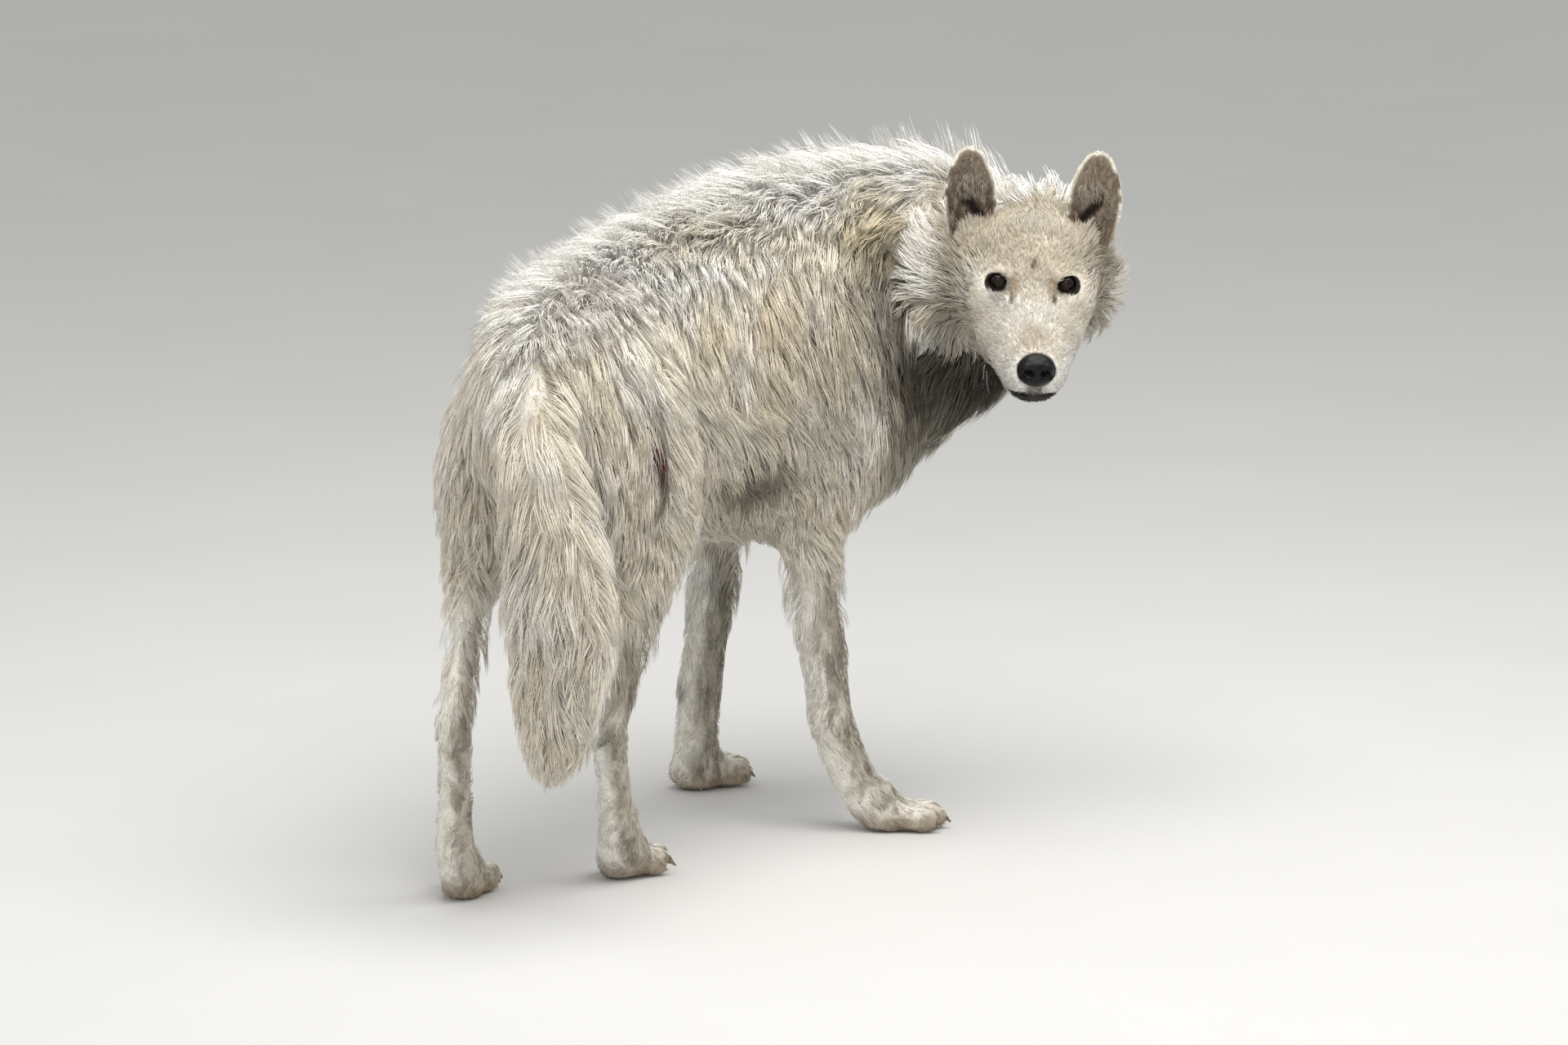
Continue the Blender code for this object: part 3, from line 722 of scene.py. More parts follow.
def neck_line(count=24):
    """Points of the neck's line from the shoulders to the nape, and its directions."""
    share = np.linspace(0.0, 1.0, count)[:, None]
    start, end = np.array(NECK_START), from_head([NAPE])[0]
    leave = np.array((math.cos(SPINE_HEADINGS[1]), math.sin(SPINE_HEADINGS[1]), 0.0)) * NECK_RUNS[0]
    arrive = unit(np.array([to_front]) * (1, 1, 0))[0] * NECK_RUNS[1]
    spots = (start * (2 * share ** 3 - 3 * share ** 2 + 1) + leave * (share ** 3 - 2 * share ** 2 + share)
             + end * (3 * share ** 2 - 2 * share ** 3) + arrive * (share ** 3 - share ** 2))
    return spots, unit(np.gradient(spots, axis=0))


def coat_lie():
    """The way the hair lies at each skin point, along the skin."""
    height = skin_points[:, 2]
    along = np.clip((skin_points[:, 0] - PELVIS_X) / (SHOULDER_X - PELVIS_X), 0.0, 1.0)
    heading = mix(SPINE_HEADINGS[0], SPINE_HEADINGS[1], along)
    ahead = np.column_stack((np.cos(heading), np.sin(heading), np.zeros(len(heading))))
    down = np.array((0.0, 0.0, -1.0))
    away = unit(skin_points - np.array(nose_at))
    lie = away.copy()
    flank = step(-0.30, -0.16, skin_points[:, 0]) * step(0.24, 0.06, skin_points[:, 0])
    back = 0.9 * step(0.66, 0.78, height) - 0.65 * flank * step(0.68, 0.56, height)
    trunk_lie = down + ahead * -back[:, None]
    lie[on_trunk] = trunk_lie[on_trunk]
    spots, directions = neck_line()
    closest = np.linalg.norm(skin_points[:, None] - spots[None], axis=2).argmin(1)
    neck_lie = down * 0.65 - directions[closest] * (0.45 + 0.55 * step(0.62, 0.72, height))[:, None]
    lie[on_neck] = neck_lie[on_neck]
    lie[on_tail | on_leg] = down
    ruff = on_head & (skin_depth > 0.014) & ~is_ear
    ruff_lie = away + down * (0.25 + 0.55 * step(-0.02, -0.07, head_places[:, 2]))[:, None]
    lie[ruff] = ruff_lie[ruff]
    for node in FLESH:
        if node.endswith("_foot"):
            mine = skin_owner == FLESH.index(node)
            ankle = np.array(centre(node.replace("_foot", "_shank") if "hind" in node
                                    else node.replace("_foot", "_forearm")))
            lie[mine] = unit(skin_points[mine] - ankle * (1, 1, 0) - np.array((0, 0, 0.12)))
    ear_up = np.array(to_top) - 0.25 * np.array(to_front)
    lie[is_ear] = ear_up
    for _ in range(3):
        lie -= skin_normals * (lie * skin_normals).sum(1)[:, None]
        lie = smoothed(unit(lie), skin_edges, 8)
    lie -= skin_normals * (lie * skin_normals).sum(1)[:, None]
    return unit(lie)


skin_lie = coat_lie()
rim = tree_of(skin_points[is_ear & (np.abs(skin_normals @ np.array(to_front)) < 0.25)])
print("skin points", len(skin_points), "of them ears", int(is_ear.sum()))

# %% [markdown]
# ## The coat's colours
# A white wolf is not one white. The guard hairs along the back are pure white, and the hair that faces up is
# painted lighter still as light from above; the flanks are cream, and wool that is being shed shows tan and
# crimped. Painted shade greys the hair that faces down and darkens the throat and chest under the head,
# the elbows, the jaw's underside, the ruff behind the cheeks and the eyes' inner corners, and the neck
# behind the ruff is grey-brown, partly as painted shade. Mud and old scent marks stain the feet. All these
# markings are worked out by one function from soft-edged spots and lines that are given in metres, so that
# the skin and the hair over it always agree.

# %% The coat's colours
WHITE, CREAM, WOOL = "#FDFCF9", "#F6EFE1", "#E0D2AF"
GREY, UMBER, THROAT_SHADE, ROSE, TAN = "#B5AE9F", "#7E7565", "#221F1A", "#EDE5E0", "#E0CDA6"
BLOOD, SOOT, LIP = "#5A2218", "#4A423B", "#1D1A1A"
FACE_CREAM, FACE_SAND, FACE_TAN, FACE_GREY = "#CFCAC0", "#CFC1A8", "#A39478", "#B7ADA0"
TEAR_BROWN, CORNER_SHADE, BROW_BROWN = "#43362E", "#A8926F", "#5E4D3C"
WORN_TAN, LID_GREY = "#B5A18B", "#9F9997"
EAR_FOOT_SAND, CHEEK_SHADE, MUD = "#B8AB94", "#857B69", "#A48F77"
EAR_BROWN, EAR_DARK, EAR_PALE, EAR_WELL_SHADE = "#6C5D4F", "#4E4037", "#9F927E", "#1A1412"
CHIN_BLACK, LIP_GREY, LID_BLACK = "#1E1B1A", "#6E655C", "#161313"
BODY_SPOTS = [  # middle, radii, colour, strength
    ((0.000, 0.022, 0.750), (0.150, 0.080, 0.030), WOOL, 0.30),
    ((0.225, -0.030, 0.735), (0.070, 0.060, 0.060), WOOL, 0.75),
    ((-0.060, -0.020, 0.655), (0.090, 0.060, 0.040), WOOL, 0.38),
    ((0.060, -0.040, 0.600), (0.120, 0.080, 0.080), TAN, 0.30),
    ((-0.290, 0.005, 0.725), (0.085, 0.060, 0.040), ROSE, 0.50),
    # painted shade at the elbow, where the foreleg meets the trunk
    ((0.025, 0.000, 0.440), (0.060, 0.050, 0.030), UMBER, 0.85),
    # painted shade under the head: these three spots darken the throat and the chest
    ((0.310, -0.085, 0.570), (0.110, 0.085, 0.095), THROAT_SHADE, 0.97),
    ((0.372, -0.080, 0.505), (0.075, 0.070, 0.065), THROAT_SHADE, 0.92),
    ((0.330, -0.020, 0.450), (0.100, 0.090, 0.110), UMBER, 0.60),
    # grey-brown behind the ruff, partly brown streaks and partly painted shade where the head shades the
    # neck
    ((0.228, -0.050, 0.640), (0.060, 0.050, 0.110), UMBER, 0.75),
    ((0.130, -0.050, 0.560), (0.090, 0.060, 0.110), GREY, 0.30),
    ((0.199, 0.253, 0.133), (0.012, 0.012, 0.014), SOOT, 0.80),
]
HEAD_SPOTS = [  # the same, in the head's directions
    # painted shade on the ruff behind the cheeks, on both sides
    ((-0.060, -0.098, -0.020), (0.030, 0.030, 0.070), GREY, 0.55),
    ((-0.060, 0.098, -0.020), (0.030, 0.030, 0.070), GREY, 0.60),
    ((0.003, 0.000, 0.029), (0.011, 0.0048, 0.0072), BROW_BROWN, 0.75),
    ((0.078, -0.004, -0.033), (0.032, 0.020, 0.024), WORN_TAN, 0.45),
    # painted shade at the inner corners of the eyes, under the brow
    ((0.010, 0.024, 0.002), (0.016, 0.0075, 0.016), CORNER_SHADE, 0.62),
    ((0.010, -0.024, 0.002), (0.016, 0.0075, 0.016), CORNER_SHADE, 0.62),
    ((0.024, 0.0270, -0.0085), (0.014, 0.0042, 0.0092), TEAR_BROWN, 0.85),
    ((0.024, -0.0270, -0.0085), (0.014, 0.0042, 0.0092), TEAR_BROWN, 0.85),
    ((0.018, -0.046, -0.013), (0.018, 0.014, 0.0075), LID_GREY, 0.60),
    # painted shade under the jaw and on the throat below the head: these two spots
    ((0.100, 0.000, -0.115), (0.040, 0.040, 0.016), GREY, 0.50),
    ((-0.020, 0.000, -0.125), (0.080, 0.075, 0.045), UMBER, 0.75),
]
RUMP, RUMP_RADII = (-0.30, 0.005, 0.725), (0.09, 0.07, 0.05)  # where dark specks lie in the rose wool


def stain(colour, code, share):
    """Draws the points' colours towards one colour, by each point's share."""
    share = np.clip(share, 0.0, 1.0)[:, None]
    colour[:] = colour * (1 - share) + linear(code) * share


def speckle(points, scale):
    """Smooth noise from 0 to 1 at each point, with detail scale times finer than a metre."""
    return np.array([0.5 + 0.5 * noise.noise(Vector(p) * scale) for p in points])


def add_spots(colour, spots, places, mine, ragged):
    """Soft-edged spots, on the points that are mine."""
    for middle, radii, code, strength in spots:
        far = np.linalg.norm((places - middle) / radii, axis=1)
        stain(colour, code, strength * step(1.35, 0.45, far + ragged) * mine)


print("spots", len(BODY_SPOTS) + len(HEAD_SPOTS))

# %% [markdown]
# ## The wound and the ears
# The wound on the right thigh is a streak of dried blood in the coat, with a dark crust round it. The
# hair round it is stained too, so the colour goes by the distance from a line down the thigh, measured
# along its surface. Inside an ear the hair is thin and dark with paler hairs among it, and darkest of all
# is the slit that leads into the ear, painted near black as the shade in it.

# %% The wound and the ears' wells
WOUND = np.array([
    (-0.268, -0.055, 0.600),
    (-0.263, -0.058, 0.555),
    (-0.262, -0.057, 0.510),
    (-0.252, -0.050, 0.450),
])
WOUND_OUT = np.array((-0.70, -0.70, 0.14))  # out of the thigh at the wound
WOUND_REACH = 0.040  # how deep under the coat's outline the hair is still stained
# the slit into each ear is painted near black as painted shade in the ear's opening
EAR_WELL = np.array([(-0.088, 0.0840, 0.0770), (-0.083, 0.0640, 0.0540)])  # the dark slit into the ear
EAR_DOWN = np.array([(-0.088, 0.0840, 0.0790), (-0.088, 0.0680, 0.0800)])  # where pale hair fans out over it


def wound_distance(points):
    """Distance from the wound's line, across the thigh's surface and not into it."""
    out = WOUND_OUT / np.linalg.norm(WOUND_OUT)
    flat = points - ((points - WOUND[1]) @ out)[:, None] * out
    line = WOUND - ((WOUND - WOUND[1]) @ out)[:, None] * out
    deep = np.abs((points - WOUND[1]) @ out)
    return line_distance(flat, line) + np.maximum(0.0, deep - WOUND_REACH)


def rim_distance(points):
    """Distance from the rims of the ears, where the skin turns from the front to the back."""
    return np.array([rim.find(p)[2] for p in points])


def wound_marks(colour, points, fine, ragged):
    """Dried blood with a dark crust round it."""
    wound = wound_distance(points)
    bleeding = step(0.540, 0.528, points[:, 2]) * step(0.488, 0.500, points[:, 2])
    stain(colour, SOOT, 0.75 * step(0.014, 0.004, wound + 0.014 * ragged) * step(0.42, 0.55, fine))
    stain(colour, BLOOD, 0.97 * step(0.0080, 0.0040, wound + 0.005 * ragged) * bleeding)


def ear_marks(colour, points, normals, heads, ear, coarse, ragged):
    """The dark insides of the ears, with paler hairs, and painted shade in the well into the ear."""
    forwards = step(0.05, 0.40, normals @ np.array(to_front))
    inside = forwards * step(0.0005, 0.0060, rim_distance(points)) * ear
    hairs = speckle(heads * (1.0, 1.0, 0.25), 260.0)
    well = line_distance(one_side(heads), EAR_WELL)
    stain(colour, EAR_BROWN, 0.92 * inside)
    stain(colour, EAR_DARK, 0.80 * inside * step(0.125, 0.060, heads[:, 2]) * step(0.35, 0.60, coarse))
    stain(colour, EAR_PALE, 0.65 * inside * step(0.50, 0.62, hairs))
    # painted shade in the slit into the ear
    stain(colour, EAR_WELL_SHADE, 0.96 * step(0.0085, 0.0045, well + 0.002 * ragged) * inside)


print("the wound is", round(float(np.linalg.norm(WOUND[0] - WOUND[-1])), 3), "m long")

# %% [markdown]
# ## The marks of face, mouth and legs
# The forehead is sandy and the muzzle pale, both with fine darker hairs. The lips and the chin are black
# skin with hardly any hair. The legs are white with grey and with darker streaks down them, and the feet
# are muddy. Each function lays one group of marks over the colour that is there already, by soft steps of
# a height or a distance, because nothing on fur has a sharp edge.

# %% The marks of face, mouth and legs
LEG_MARKS_FROM, LEG_MARKS_WHOLE = 0.36, 0.26  # heights on the legs between which their marks set in


def face_marks(colour, heads, face):
    """Sandy forehead, pale muzzle, and the fine darker hairs on both."""
    front, side, top = one_side(heads).T
    hairs = speckle(heads * (0.35, 1.0, 1.0), 420.0)
    middle_face = step(0.085, 0.045, side) * face
    stain(colour, FACE_CREAM, 0.55 * middle_face)
    forehead = step(0.045, -0.015, front) * step(-0.020, 0.030, top) * step(0.090, 0.050, top)
    stain(colour, FACE_SAND, 0.55 * forehead * middle_face)
    stain(colour, FACE_TAN, 0.40 * step(0.52, 0.66, hairs) * step(0.020, -0.020, front) * middle_face)
    stain(colour, WHITE, 0.75 * step(0.02, 0.06, front) * step(-0.045, -0.065, top) * middle_face)
    stain(colour, FACE_GREY, 0.35 * step(0.50, 0.64, hairs) * step(0.0, 0.04, front) * middle_face)


def ruff_marks(colour, heads, face, ragged):
    """Sand round the feet of the ears, a band of painted shadow behind the cheeks and a white edge behind
    it.
    """
    sideways = np.abs(heads[:, 1]) + 0.012 * ragged
    stain(colour, EAR_FOOT_SAND, 0.55 * step(0.055, 0.030, ear_foot_distance(heads) + 0.012 * ragged) * face)
    stain(colour, WHITE, 0.65 * step(0.108, 0.128, sideways) * step(-0.060, -0.030, heads[:, 2]) * face)
    # painted shadow: a brown band where the ruff stands out behind the cheeks
    cheek = step(0.066, 0.086, sideways) * step(0.020, -0.030, heads[:, 0]) * face
    lower = step(0.040, -0.005, heads[:, 2])
    stain(colour, CHEEK_SHADE, 0.52 * cheek * step(0.128, 0.102, sideways) * lower)


def mouth_marks(colour, heads, on_face):
    """Black lips and chin, and the grey groove under the nose."""
    front, side, top = one_side(heads).T
    stain(colour, LIP, 0.97 * step(0.0050, 0.0026, mouth_distance(heads)) * on_face)
    chin = step(0.088, 0.102, front) * step(-0.0925, -0.0955, top) * step(0.034, 0.024, side)
    stain(colour, CHIN_BLACK, 0.94 * chin * on_face)
    groove = step(0.014, 0.006, side) * step(0.105, 0.115, front)
    groove *= step(-0.0800, -0.0860, top) * step(-0.0960, -0.0930, top)
    stain(colour, LIP_GREY, 0.80 * groove * on_face)


def leg_marks(colour, points, normals, legs, ragged):
    """Grey on the right-hand sides of the legs with darker streaks down them, and mud on the feet."""
    rightwards = -normals[:, 1]
    streaks = speckle(points * (1.0, 1.0, 0.12), 120.0)
    stain(colour, WHITE, 0.45 * legs)
    stain(colour, GREY, 0.85 * legs * step(0.20, 0.90, rightwards))
    stain(colour, UMBER, 0.62 * legs * step(0.44, 0.70, streaks) * step(0.10, 0.90, rightwards))
    stain(colour, MUD, 0.75 * step(0.034, 0.004, points[:, 2] + 0.02 * ragged))


print("the legs' marks begin", LEG_MARKS_FROM, "m above the floor")

# %% [markdown]
# ## All the coat's colours together
# The marks lie over each other like coats of paint, the broad ones first and the small dark ones last.
# Skin and hair ask the same function, so the hide has the colour of the hair that grows from it.

# %% All the coat's colours together
def owned_by(owner_of, beginning):
    """Which points belong to solids whose names begin so."""
    return np.isin(owner_of, [i for i, name in enumerate(FLESH) if name.startswith(beginning)])


def coat_colour(points, normals, owner_of, ear, lid):
    """Linear colour of skin or hair that grows at these points."""
    coarse = speckle(points, 14.0)
    fine = speckle(points, 60.0)
    ragged = (coarse - 0.5) * 0.9 + (fine - 0.5) * 0.7
    heads = in_head(points)
    height = points[:, 2]
    body_part = ~owned_by(owner_of, "head") & ~ear
    face = (~body_part) & ~ear
    legs = step(LEG_MARKS_FROM, LEG_MARKS_WHOLE, height) * body_part * ~owned_by(owner_of, "tail")
    colour = np.tile(linear(CREAM), (len(points), 1))

    # white guard hair along the back, partly painted light on the hair that faces up
    white_back_and_top_light = step(0.45, 0.85, normals[:, 2] + 0.25 * ragged)
    stain(colour, WHITE, 0.95 * white_back_and_top_light * step(0.60, 0.72, height) * body_part)
    stain(colour, WHITE, 0.55 * step(0.45, 0.70, coarse))
    stain(colour, TAN, 0.30 * step(0.55, 0.75, fine))
    face_marks(colour, heads, face)
    add_spots(colour, BODY_SPOTS, points, body_part, ragged)
    add_spots(colour, HEAD_SPOTS, heads, ~body_part, ragged)
    ruff_marks(colour, heads, face, ragged)
    # painted shade: hair that faces down is greyed
    painted_underside_shade = step(-0.45, -0.85, normals[:, 2]) * step(0.30, 0.40, height)
    stain(colour, GREY, 0.35 * painted_underside_shade * body_part)
    leg_marks(colour, points, normals, legs, ragged)
    wound_marks(colour, points, fine, ragged)
    rump = np.linalg.norm((points - RUMP) / RUMP_RADII, axis=1) < 1.2
    stain(colour, SOOT, 0.5 * rump * step(0.80, 0.88, fine))
    ear_marks(colour, points, normals, heads, ear, coarse, ragged)
    mouth_marks(colour, heads, ~body_part)
    stain(colour, LID_BLACK, 0.97 * lid)
    return colour


def lid_share(places, outside=1.20, inside=1.12):
    """1 on the bare margin of the lids, 0 where the lids are haired."""
    share = np.zeros(len(places))
    for side in eye_at:
        out, across, up = eye_directions(side)
        offset = places - in_head([eye_at[side]])[0]
        reach = np.hypot(offset @ across / OPENING[0], offset @ up / OPENING[1])
        share = np.maximum(share, step(outside, inside, reach) * (offset @ out > 0))
    return share


BARE_SHADE, COVERED_SHADE = 0.97, 0.96  # how the hide is dulled where the coat is short and where it is deep
bare_margin = lid_share(head_places) * (is_lid | on_head)
skin_colour = coat_colour(skin_points, skin_normals, skin_owner, is_ear, bare_margin)
shade = mix(BARE_SHADE, COVERED_SHADE, step(0.004, 0.020, skin_depth))
with_alpha = np.column_stack((skin_colour * shade[:, None], np.ones(len(shade))))
tint_layer = skin_mesh.color_attributes.new("tint", "FLOAT_COLOR", "POINT")
tint_layer.data.foreach_set("color", with_alpha.ravel())
print("mean skin colour", skin_colour.mean(0).round(3))

# %% [markdown]
# ## Materials of skin and hair
# The hide under the fur takes the same markings, dulled where the coat over it is deep, because little
# light gets down there. Its bump is the short velvet of the face and legs: noise as fine as a millimetre,
# broken by a coarser one where the velvet parts. Hair is keratin over a hollow core, so it is pale, a
# little glossy along its length and never a mirror.

# %% Materials of skin and hair
VELVET = 1 / 0.0011  # one hair's breadth of the velvet, drawn twice as coarse as it is so that it shows
TUFT = 1 / 0.0030  # the width of the small tufts that the velvet makes
PARTING = 1 / 0.0060
STREAK = 1 / 0.0035  # the width over which neighbouring locks differ


def velvet_hide():
    """The hide's finish: the markings under short velvet."""
    made, tree, shader = shader_of("velvet_hide")
    coordinates = add_node(tree, "ShaderNodeTexCoord").outputs["Object"]
    tint = add_node(tree, "ShaderNodeAttribute", {"attribute_name": "tint"}).outputs["Color"]
    hair = add_node(tree, "ShaderNodeTexNoise", Vector=coordinates, Scale=VELVET, Detail=2.0)
    parting = add_node(tree, "ShaderNodeTexNoise", Vector=coordinates, Scale=PARTING, Detail=3.0)
    tuft = add_node(tree, "ShaderNodeTexNoise", Vector=coordinates, Scale=TUFT, Detail=3.0)
    both = add_node(tree, "ShaderNodeMath", {"operation": "ADD"})
    tree.links.new(hair.outputs["Fac"], both.inputs[0])
    tree.links.new(tuft.outputs["Fac"], both.inputs[1])
    dark = add_node(tree, "ShaderNodeMapRange", Value=both.outputs["Value"], From_Min=0.75, From_Max=1.25,
                    To_Min=0.72, To_Max=1.07)
    colour = add_node(tree, "ShaderNodeVectorMath", {"operation": "SCALE"}, Vector=tint,
                      Scale=dark.outputs["Result"])
    tree.links.new(colour.outputs["Vector"], shader.inputs["Base Color"])
    height = add_node(tree, "ShaderNodeMath", {"operation": "ADD"})
    tree.links.new(hair.outputs["Fac"], height.inputs[0])
    tree.links.new(parting.outputs["Fac"], height.inputs[1])
    bump = add_node(tree, "ShaderNodeBump", Height=height.outputs["Value"], Strength=0.55, Distance=0.0008)
    tree.links.new(bump.outputs["Normal"], shader.inputs["Normal"])
    shader.inputs["Roughness"].default_value = 0.80
    shader.inputs["Specular IOR Level"].default_value = 0.08
    return made


def guard_hair():
    """The locks' finish: the markings, a little lighter or darker from lock to lock."""
    made, tree, shader = shader_of("guard_hair")
    coordinates = add_node(tree, "ShaderNodeTexCoord").outputs["Object"]
    tint = add_node(tree, "ShaderNodeAttribute", {"attribute_name": "tint"}).outputs["Color"]
    streak = add_node(tree, "ShaderNodeTexNoise", Vector=coordinates, Scale=STREAK, Detail=3.0)
    light = add_node(tree, "ShaderNodeMapRange", Value=streak.outputs["Fac"], From_Min=0.3, From_Max=0.7,
                     To_Min=0.90, To_Max=1.06)
    colour = add_node(tree, "ShaderNodeVectorMath", {"operation": "SCALE"}, Vector=tint,
                      Scale=light.outputs["Result"])
    tree.links.new(colour.outputs["Vector"], shader.inputs["Base Color"])
    rough = add_node(tree, "ShaderNodeMapRange", Value=streak.outputs["Fac"], To_Min=0.45, To_Max=0.70)
    tree.links.new(rough.outputs["Result"], shader.inputs["Roughness"])
    shader.inputs["Specular IOR Level"].default_value = 0.35
    return made


hide_finish = velvet_hide()
hair_finish = guard_hair()
skin_mesh.materials.append(hide_finish)
skin_mesh.shade_smooth()
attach(skin, "root")
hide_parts(*FLESH)
print("materials", [m.name for m in bpy.data.materials][:6])

# %% [markdown]
# ## One lock of hair
# Hair here is solid mesh. A lock is a thin three-sided spike with a closed root, fullest a third of the
# way up. The operator that makes cones makes it, cuts across it give it places to bend, and the same
# pattern is then laid along thousands of curves. Short hair needs only one bend, which keeps the model
# light.

# %% One lock of hair
def lock_pattern(bends):
    """Points (across, across, along), their level and the triangles of one lock, one unit wide and long."""
    bm = bmesh.new()
    bmesh.ops.create_cone(bm, cap_ends=True, segments=3, radius1=1.0, radius2=0.0, depth=1.0,
                          matrix=Matrix.Translation((0, 0, 0.5)))
    bmesh.ops.remove_doubles(bm, verts=bm.verts[:], dist=1e-4)
    for bend in bends:
        bmesh.ops.bisect_plane(bm, geom=bm.verts[:] + bm.edges[:] + bm.faces[:], plane_co=(0, 0, bend),
                               plane_no=(0, 0, 1))
    bmesh.ops.triangulate(bm, faces=bm.faces[:])
    for vert in bm.verts:
        along = vert.co.z
        fullness = (0.70 + 1.3 * along) * (1 - along) ** 0.8
        width = fullness / max(1 - along, 1e-6) if along < 0.999 else 1.0
        vert.co.x *= width
        vert.co.y *= width
    bmesh.ops.recalc_face_normals(bm, faces=bm.faces[:])
    points = np.array([v.co for v in bm.verts])
    faces = np.array([[v.index for v in f.verts] for f in bm.faces])
    bm.free()
    return points, faces


LONG_LOCK = lock_pattern((0.38, 0.72))
SHORT_LOCK = lock_pattern((0.5,))
print("triangles of a long lock", len(LONG_LOCK[1]), "of a short one", len(SHORT_LOCK[1]))

# %% [markdown]
# ## Roots over the skin
# Roots are scattered over the skin's triangles, more where the hair is finer, by a seeded draw so that
# every run gives the same wolf. Each root borrows what the three corners of its triangle carry: normal,
# lie, depth and place on the unwrap. The unwrap is made for each region by itself, so that its hair uses
# the whole of its own picture.

# %% Roots over the skin
SHORTEST_LOCK, LENGTH_BY_DEPTH = 0.0070, 2.00
FINEST_LOCK, WIDTH_BY_DEPTH = 0.00085, 0.0210

draw = np.random.default_rng(SEED)
corner_index = np.empty(len(skin_mesh.loops), int)
skin_mesh.loops.foreach_get("vertex_index", corner_index)
triangles = corner_index.reshape(-1, 3)
corners = skin_points[triangles]
areas = np.linalg.norm(np.cross(corners[:, 1] - corners[:, 0], corners[:, 2] - corners[:, 0]), axis=1) / 2
triangle_middle = corners.mean(1)
skin_tree = BVHTree.FromPolygons([Vector(p) for p in skin_points], triangles.tolist())


def unwrap(chosen):
    """Places of the chosen triangles' corners on an unwrap of their own shape."""
    used, local = np.unique(triangles[chosen], return_inverse=True)
    mesh = bpy.data.meshes.new("unwrap")
    mesh.from_pydata(skin_points[used].tolist(), [], local.reshape(-1, 3).tolist())
    flat = bpy.data.objects.new("unwrap", mesh)
    SHOWN.objects.link(flat)
    bpy.ops.object.select_all(action="DESELECT")
    bpy.context.view_layer.objects.active = flat
    flat.select_set(True)
    bpy.ops.object.mode_set(mode="EDIT")
    bpy.ops.mesh.select_all(action="SELECT")
    bpy.ops.uv.smart_project(angle_limit=math.radians(70.0), island_margin=0.004)
    bpy.ops.object.mode_set(mode="OBJECT")
    places = np.empty(len(mesh.loops) * 2)
    mesh.uv_layers[0].data.foreach_get("uv", places)
    bpy.data.objects.remove(flat)
    bpy.data.meshes.remove(mesh)
    return places.reshape(-1, 3, 2)


def scatter(chosen, count):
    """That many roots on the chosen triangles, closer together where each lock covers less."""
    cover = (0.5 * lock_length(skin_depth) * lock_width(skin_depth))[triangles[chosen]].mean(1)
    expected = areas[chosen] / cover
    print("layers of hair", round(count / expected.sum(), 1), end=", ")
    picks = np.sort(draw.choice(len(chosen), count, p=expected / expected.sum()))
    share = draw.random((count, 2))
    share = np.where(share.sum(1, keepdims=True) > 1, 1 - share, share)
    weights = np.column_stack((1 - share.sum(1), share))
    return picks, weights


def borrowed(values, rows, weights):
    """Values of triangle corners, mixed by the roots' weights."""
    return np.einsum("rc,rc...->r...", weights, values[rows])


def lock_length(over):
    """How long the locks are where the coat is so deep."""
    return SHORTEST_LOCK + LENGTH_BY_DEPTH * over


def lock_width(over):
    """How wide the locks are where the coat is so deep."""
    return FINEST_LOCK + WIDTH_BY_DEPTH * over


print("skin area", areas.sum().round(3), "square metres")

# %% [markdown]
# ## Growing the coat
# Each hair is a curve of four control points. It starts under the skin, rises, bends over in the
# direction of the lie and ends on the outline, at the coat's full depth over the skin where its tip has
# come to. Neighbours are then drawn together to the curve of one guide, tips more than roots, which parts
# the coat into pointed locks.

# %% Growing the coat
SECOND_CLUMP = 0.45  # how much of the pull the smaller tufts inside a tuft have
LENGTHS, WIDTHS = (0.72, 1.08), (0.75, 1.20)  # between which the locks of one place differ
SWIRL = 22.0  # detail of the noise that turns the hair from its lie, per metre
FULL_TURN = 6.283
ROOT_DEPTH = 0.0015  # how far under the skin a hair starts, or half the coat's depth where that is less
LETTING_GO = (0.010, 0.030)  # between which distances from the skin a hair stops to follow it
FLATNESS = 0.7  # a lock's thickness as a share of its width
PATCH = 0.003  # side of a lock's patch on the unwrap
FLOOR_GAP = 0.0004  # no hair reaches under the floor
OLD_HAIR = "#D9D0C0"


def curve_at(control, share):
    """Point and direction of each cubic curve at one share of its length."""
    a, b, c, d = control
    rest = 1 - share
    spot = a * rest ** 3 + 3 * b * rest ** 2 * share + 3 * c * rest * share ** 2 + d * share ** 3
    way = (b - a) * rest ** 2 + 2 * (c - b) * rest * share + (d - c) * share ** 2
    return spot, unit(way)


def gathered(control, roots, spacing, pull):
    """Draws each curve to its nearest guide's, more towards the tip."""
    guides = draw.choice(len(roots), max(1, int(len(roots) * spacing)), replace=False)
    tree = tree_of(roots[guides])
    mine = guides[np.array([tree.find(p)[1] for p in roots])]
    offset = roots - roots[mine]
    result = [control[0]]
    for part, share in zip(control[1:], (0.25, 0.75, 1.0)):
        led = part[mine] + offset * (1 - pull * share)
        result.append(mix(part, led, 0.8 * min(1.0, share + 0.1)))
    return result, mine


def lying_tips(roots, normal, lie, length, lift, free):
    """Where lying hairs end, at the coat's depth over the skin that they reach, and how that skin faces."""
    ahead = roots + lie * length[:, None]
    landing, facing = np.empty_like(roots), np.empty_like(roots)
    for i, spot in enumerate(ahead):
        landing[i], facing[i] = skin_tree.find_nearest(Vector(spot))[:2]
    lying = landing + facing * lift[:, None]
    away = np.linalg.norm(ahead - landing, axis=1)
    hanging = ahead + normal * (lift * 0.45)[:, None]
    return mix(lying, hanging, step(*LETTING_GO, away)[:, None] * free), facing


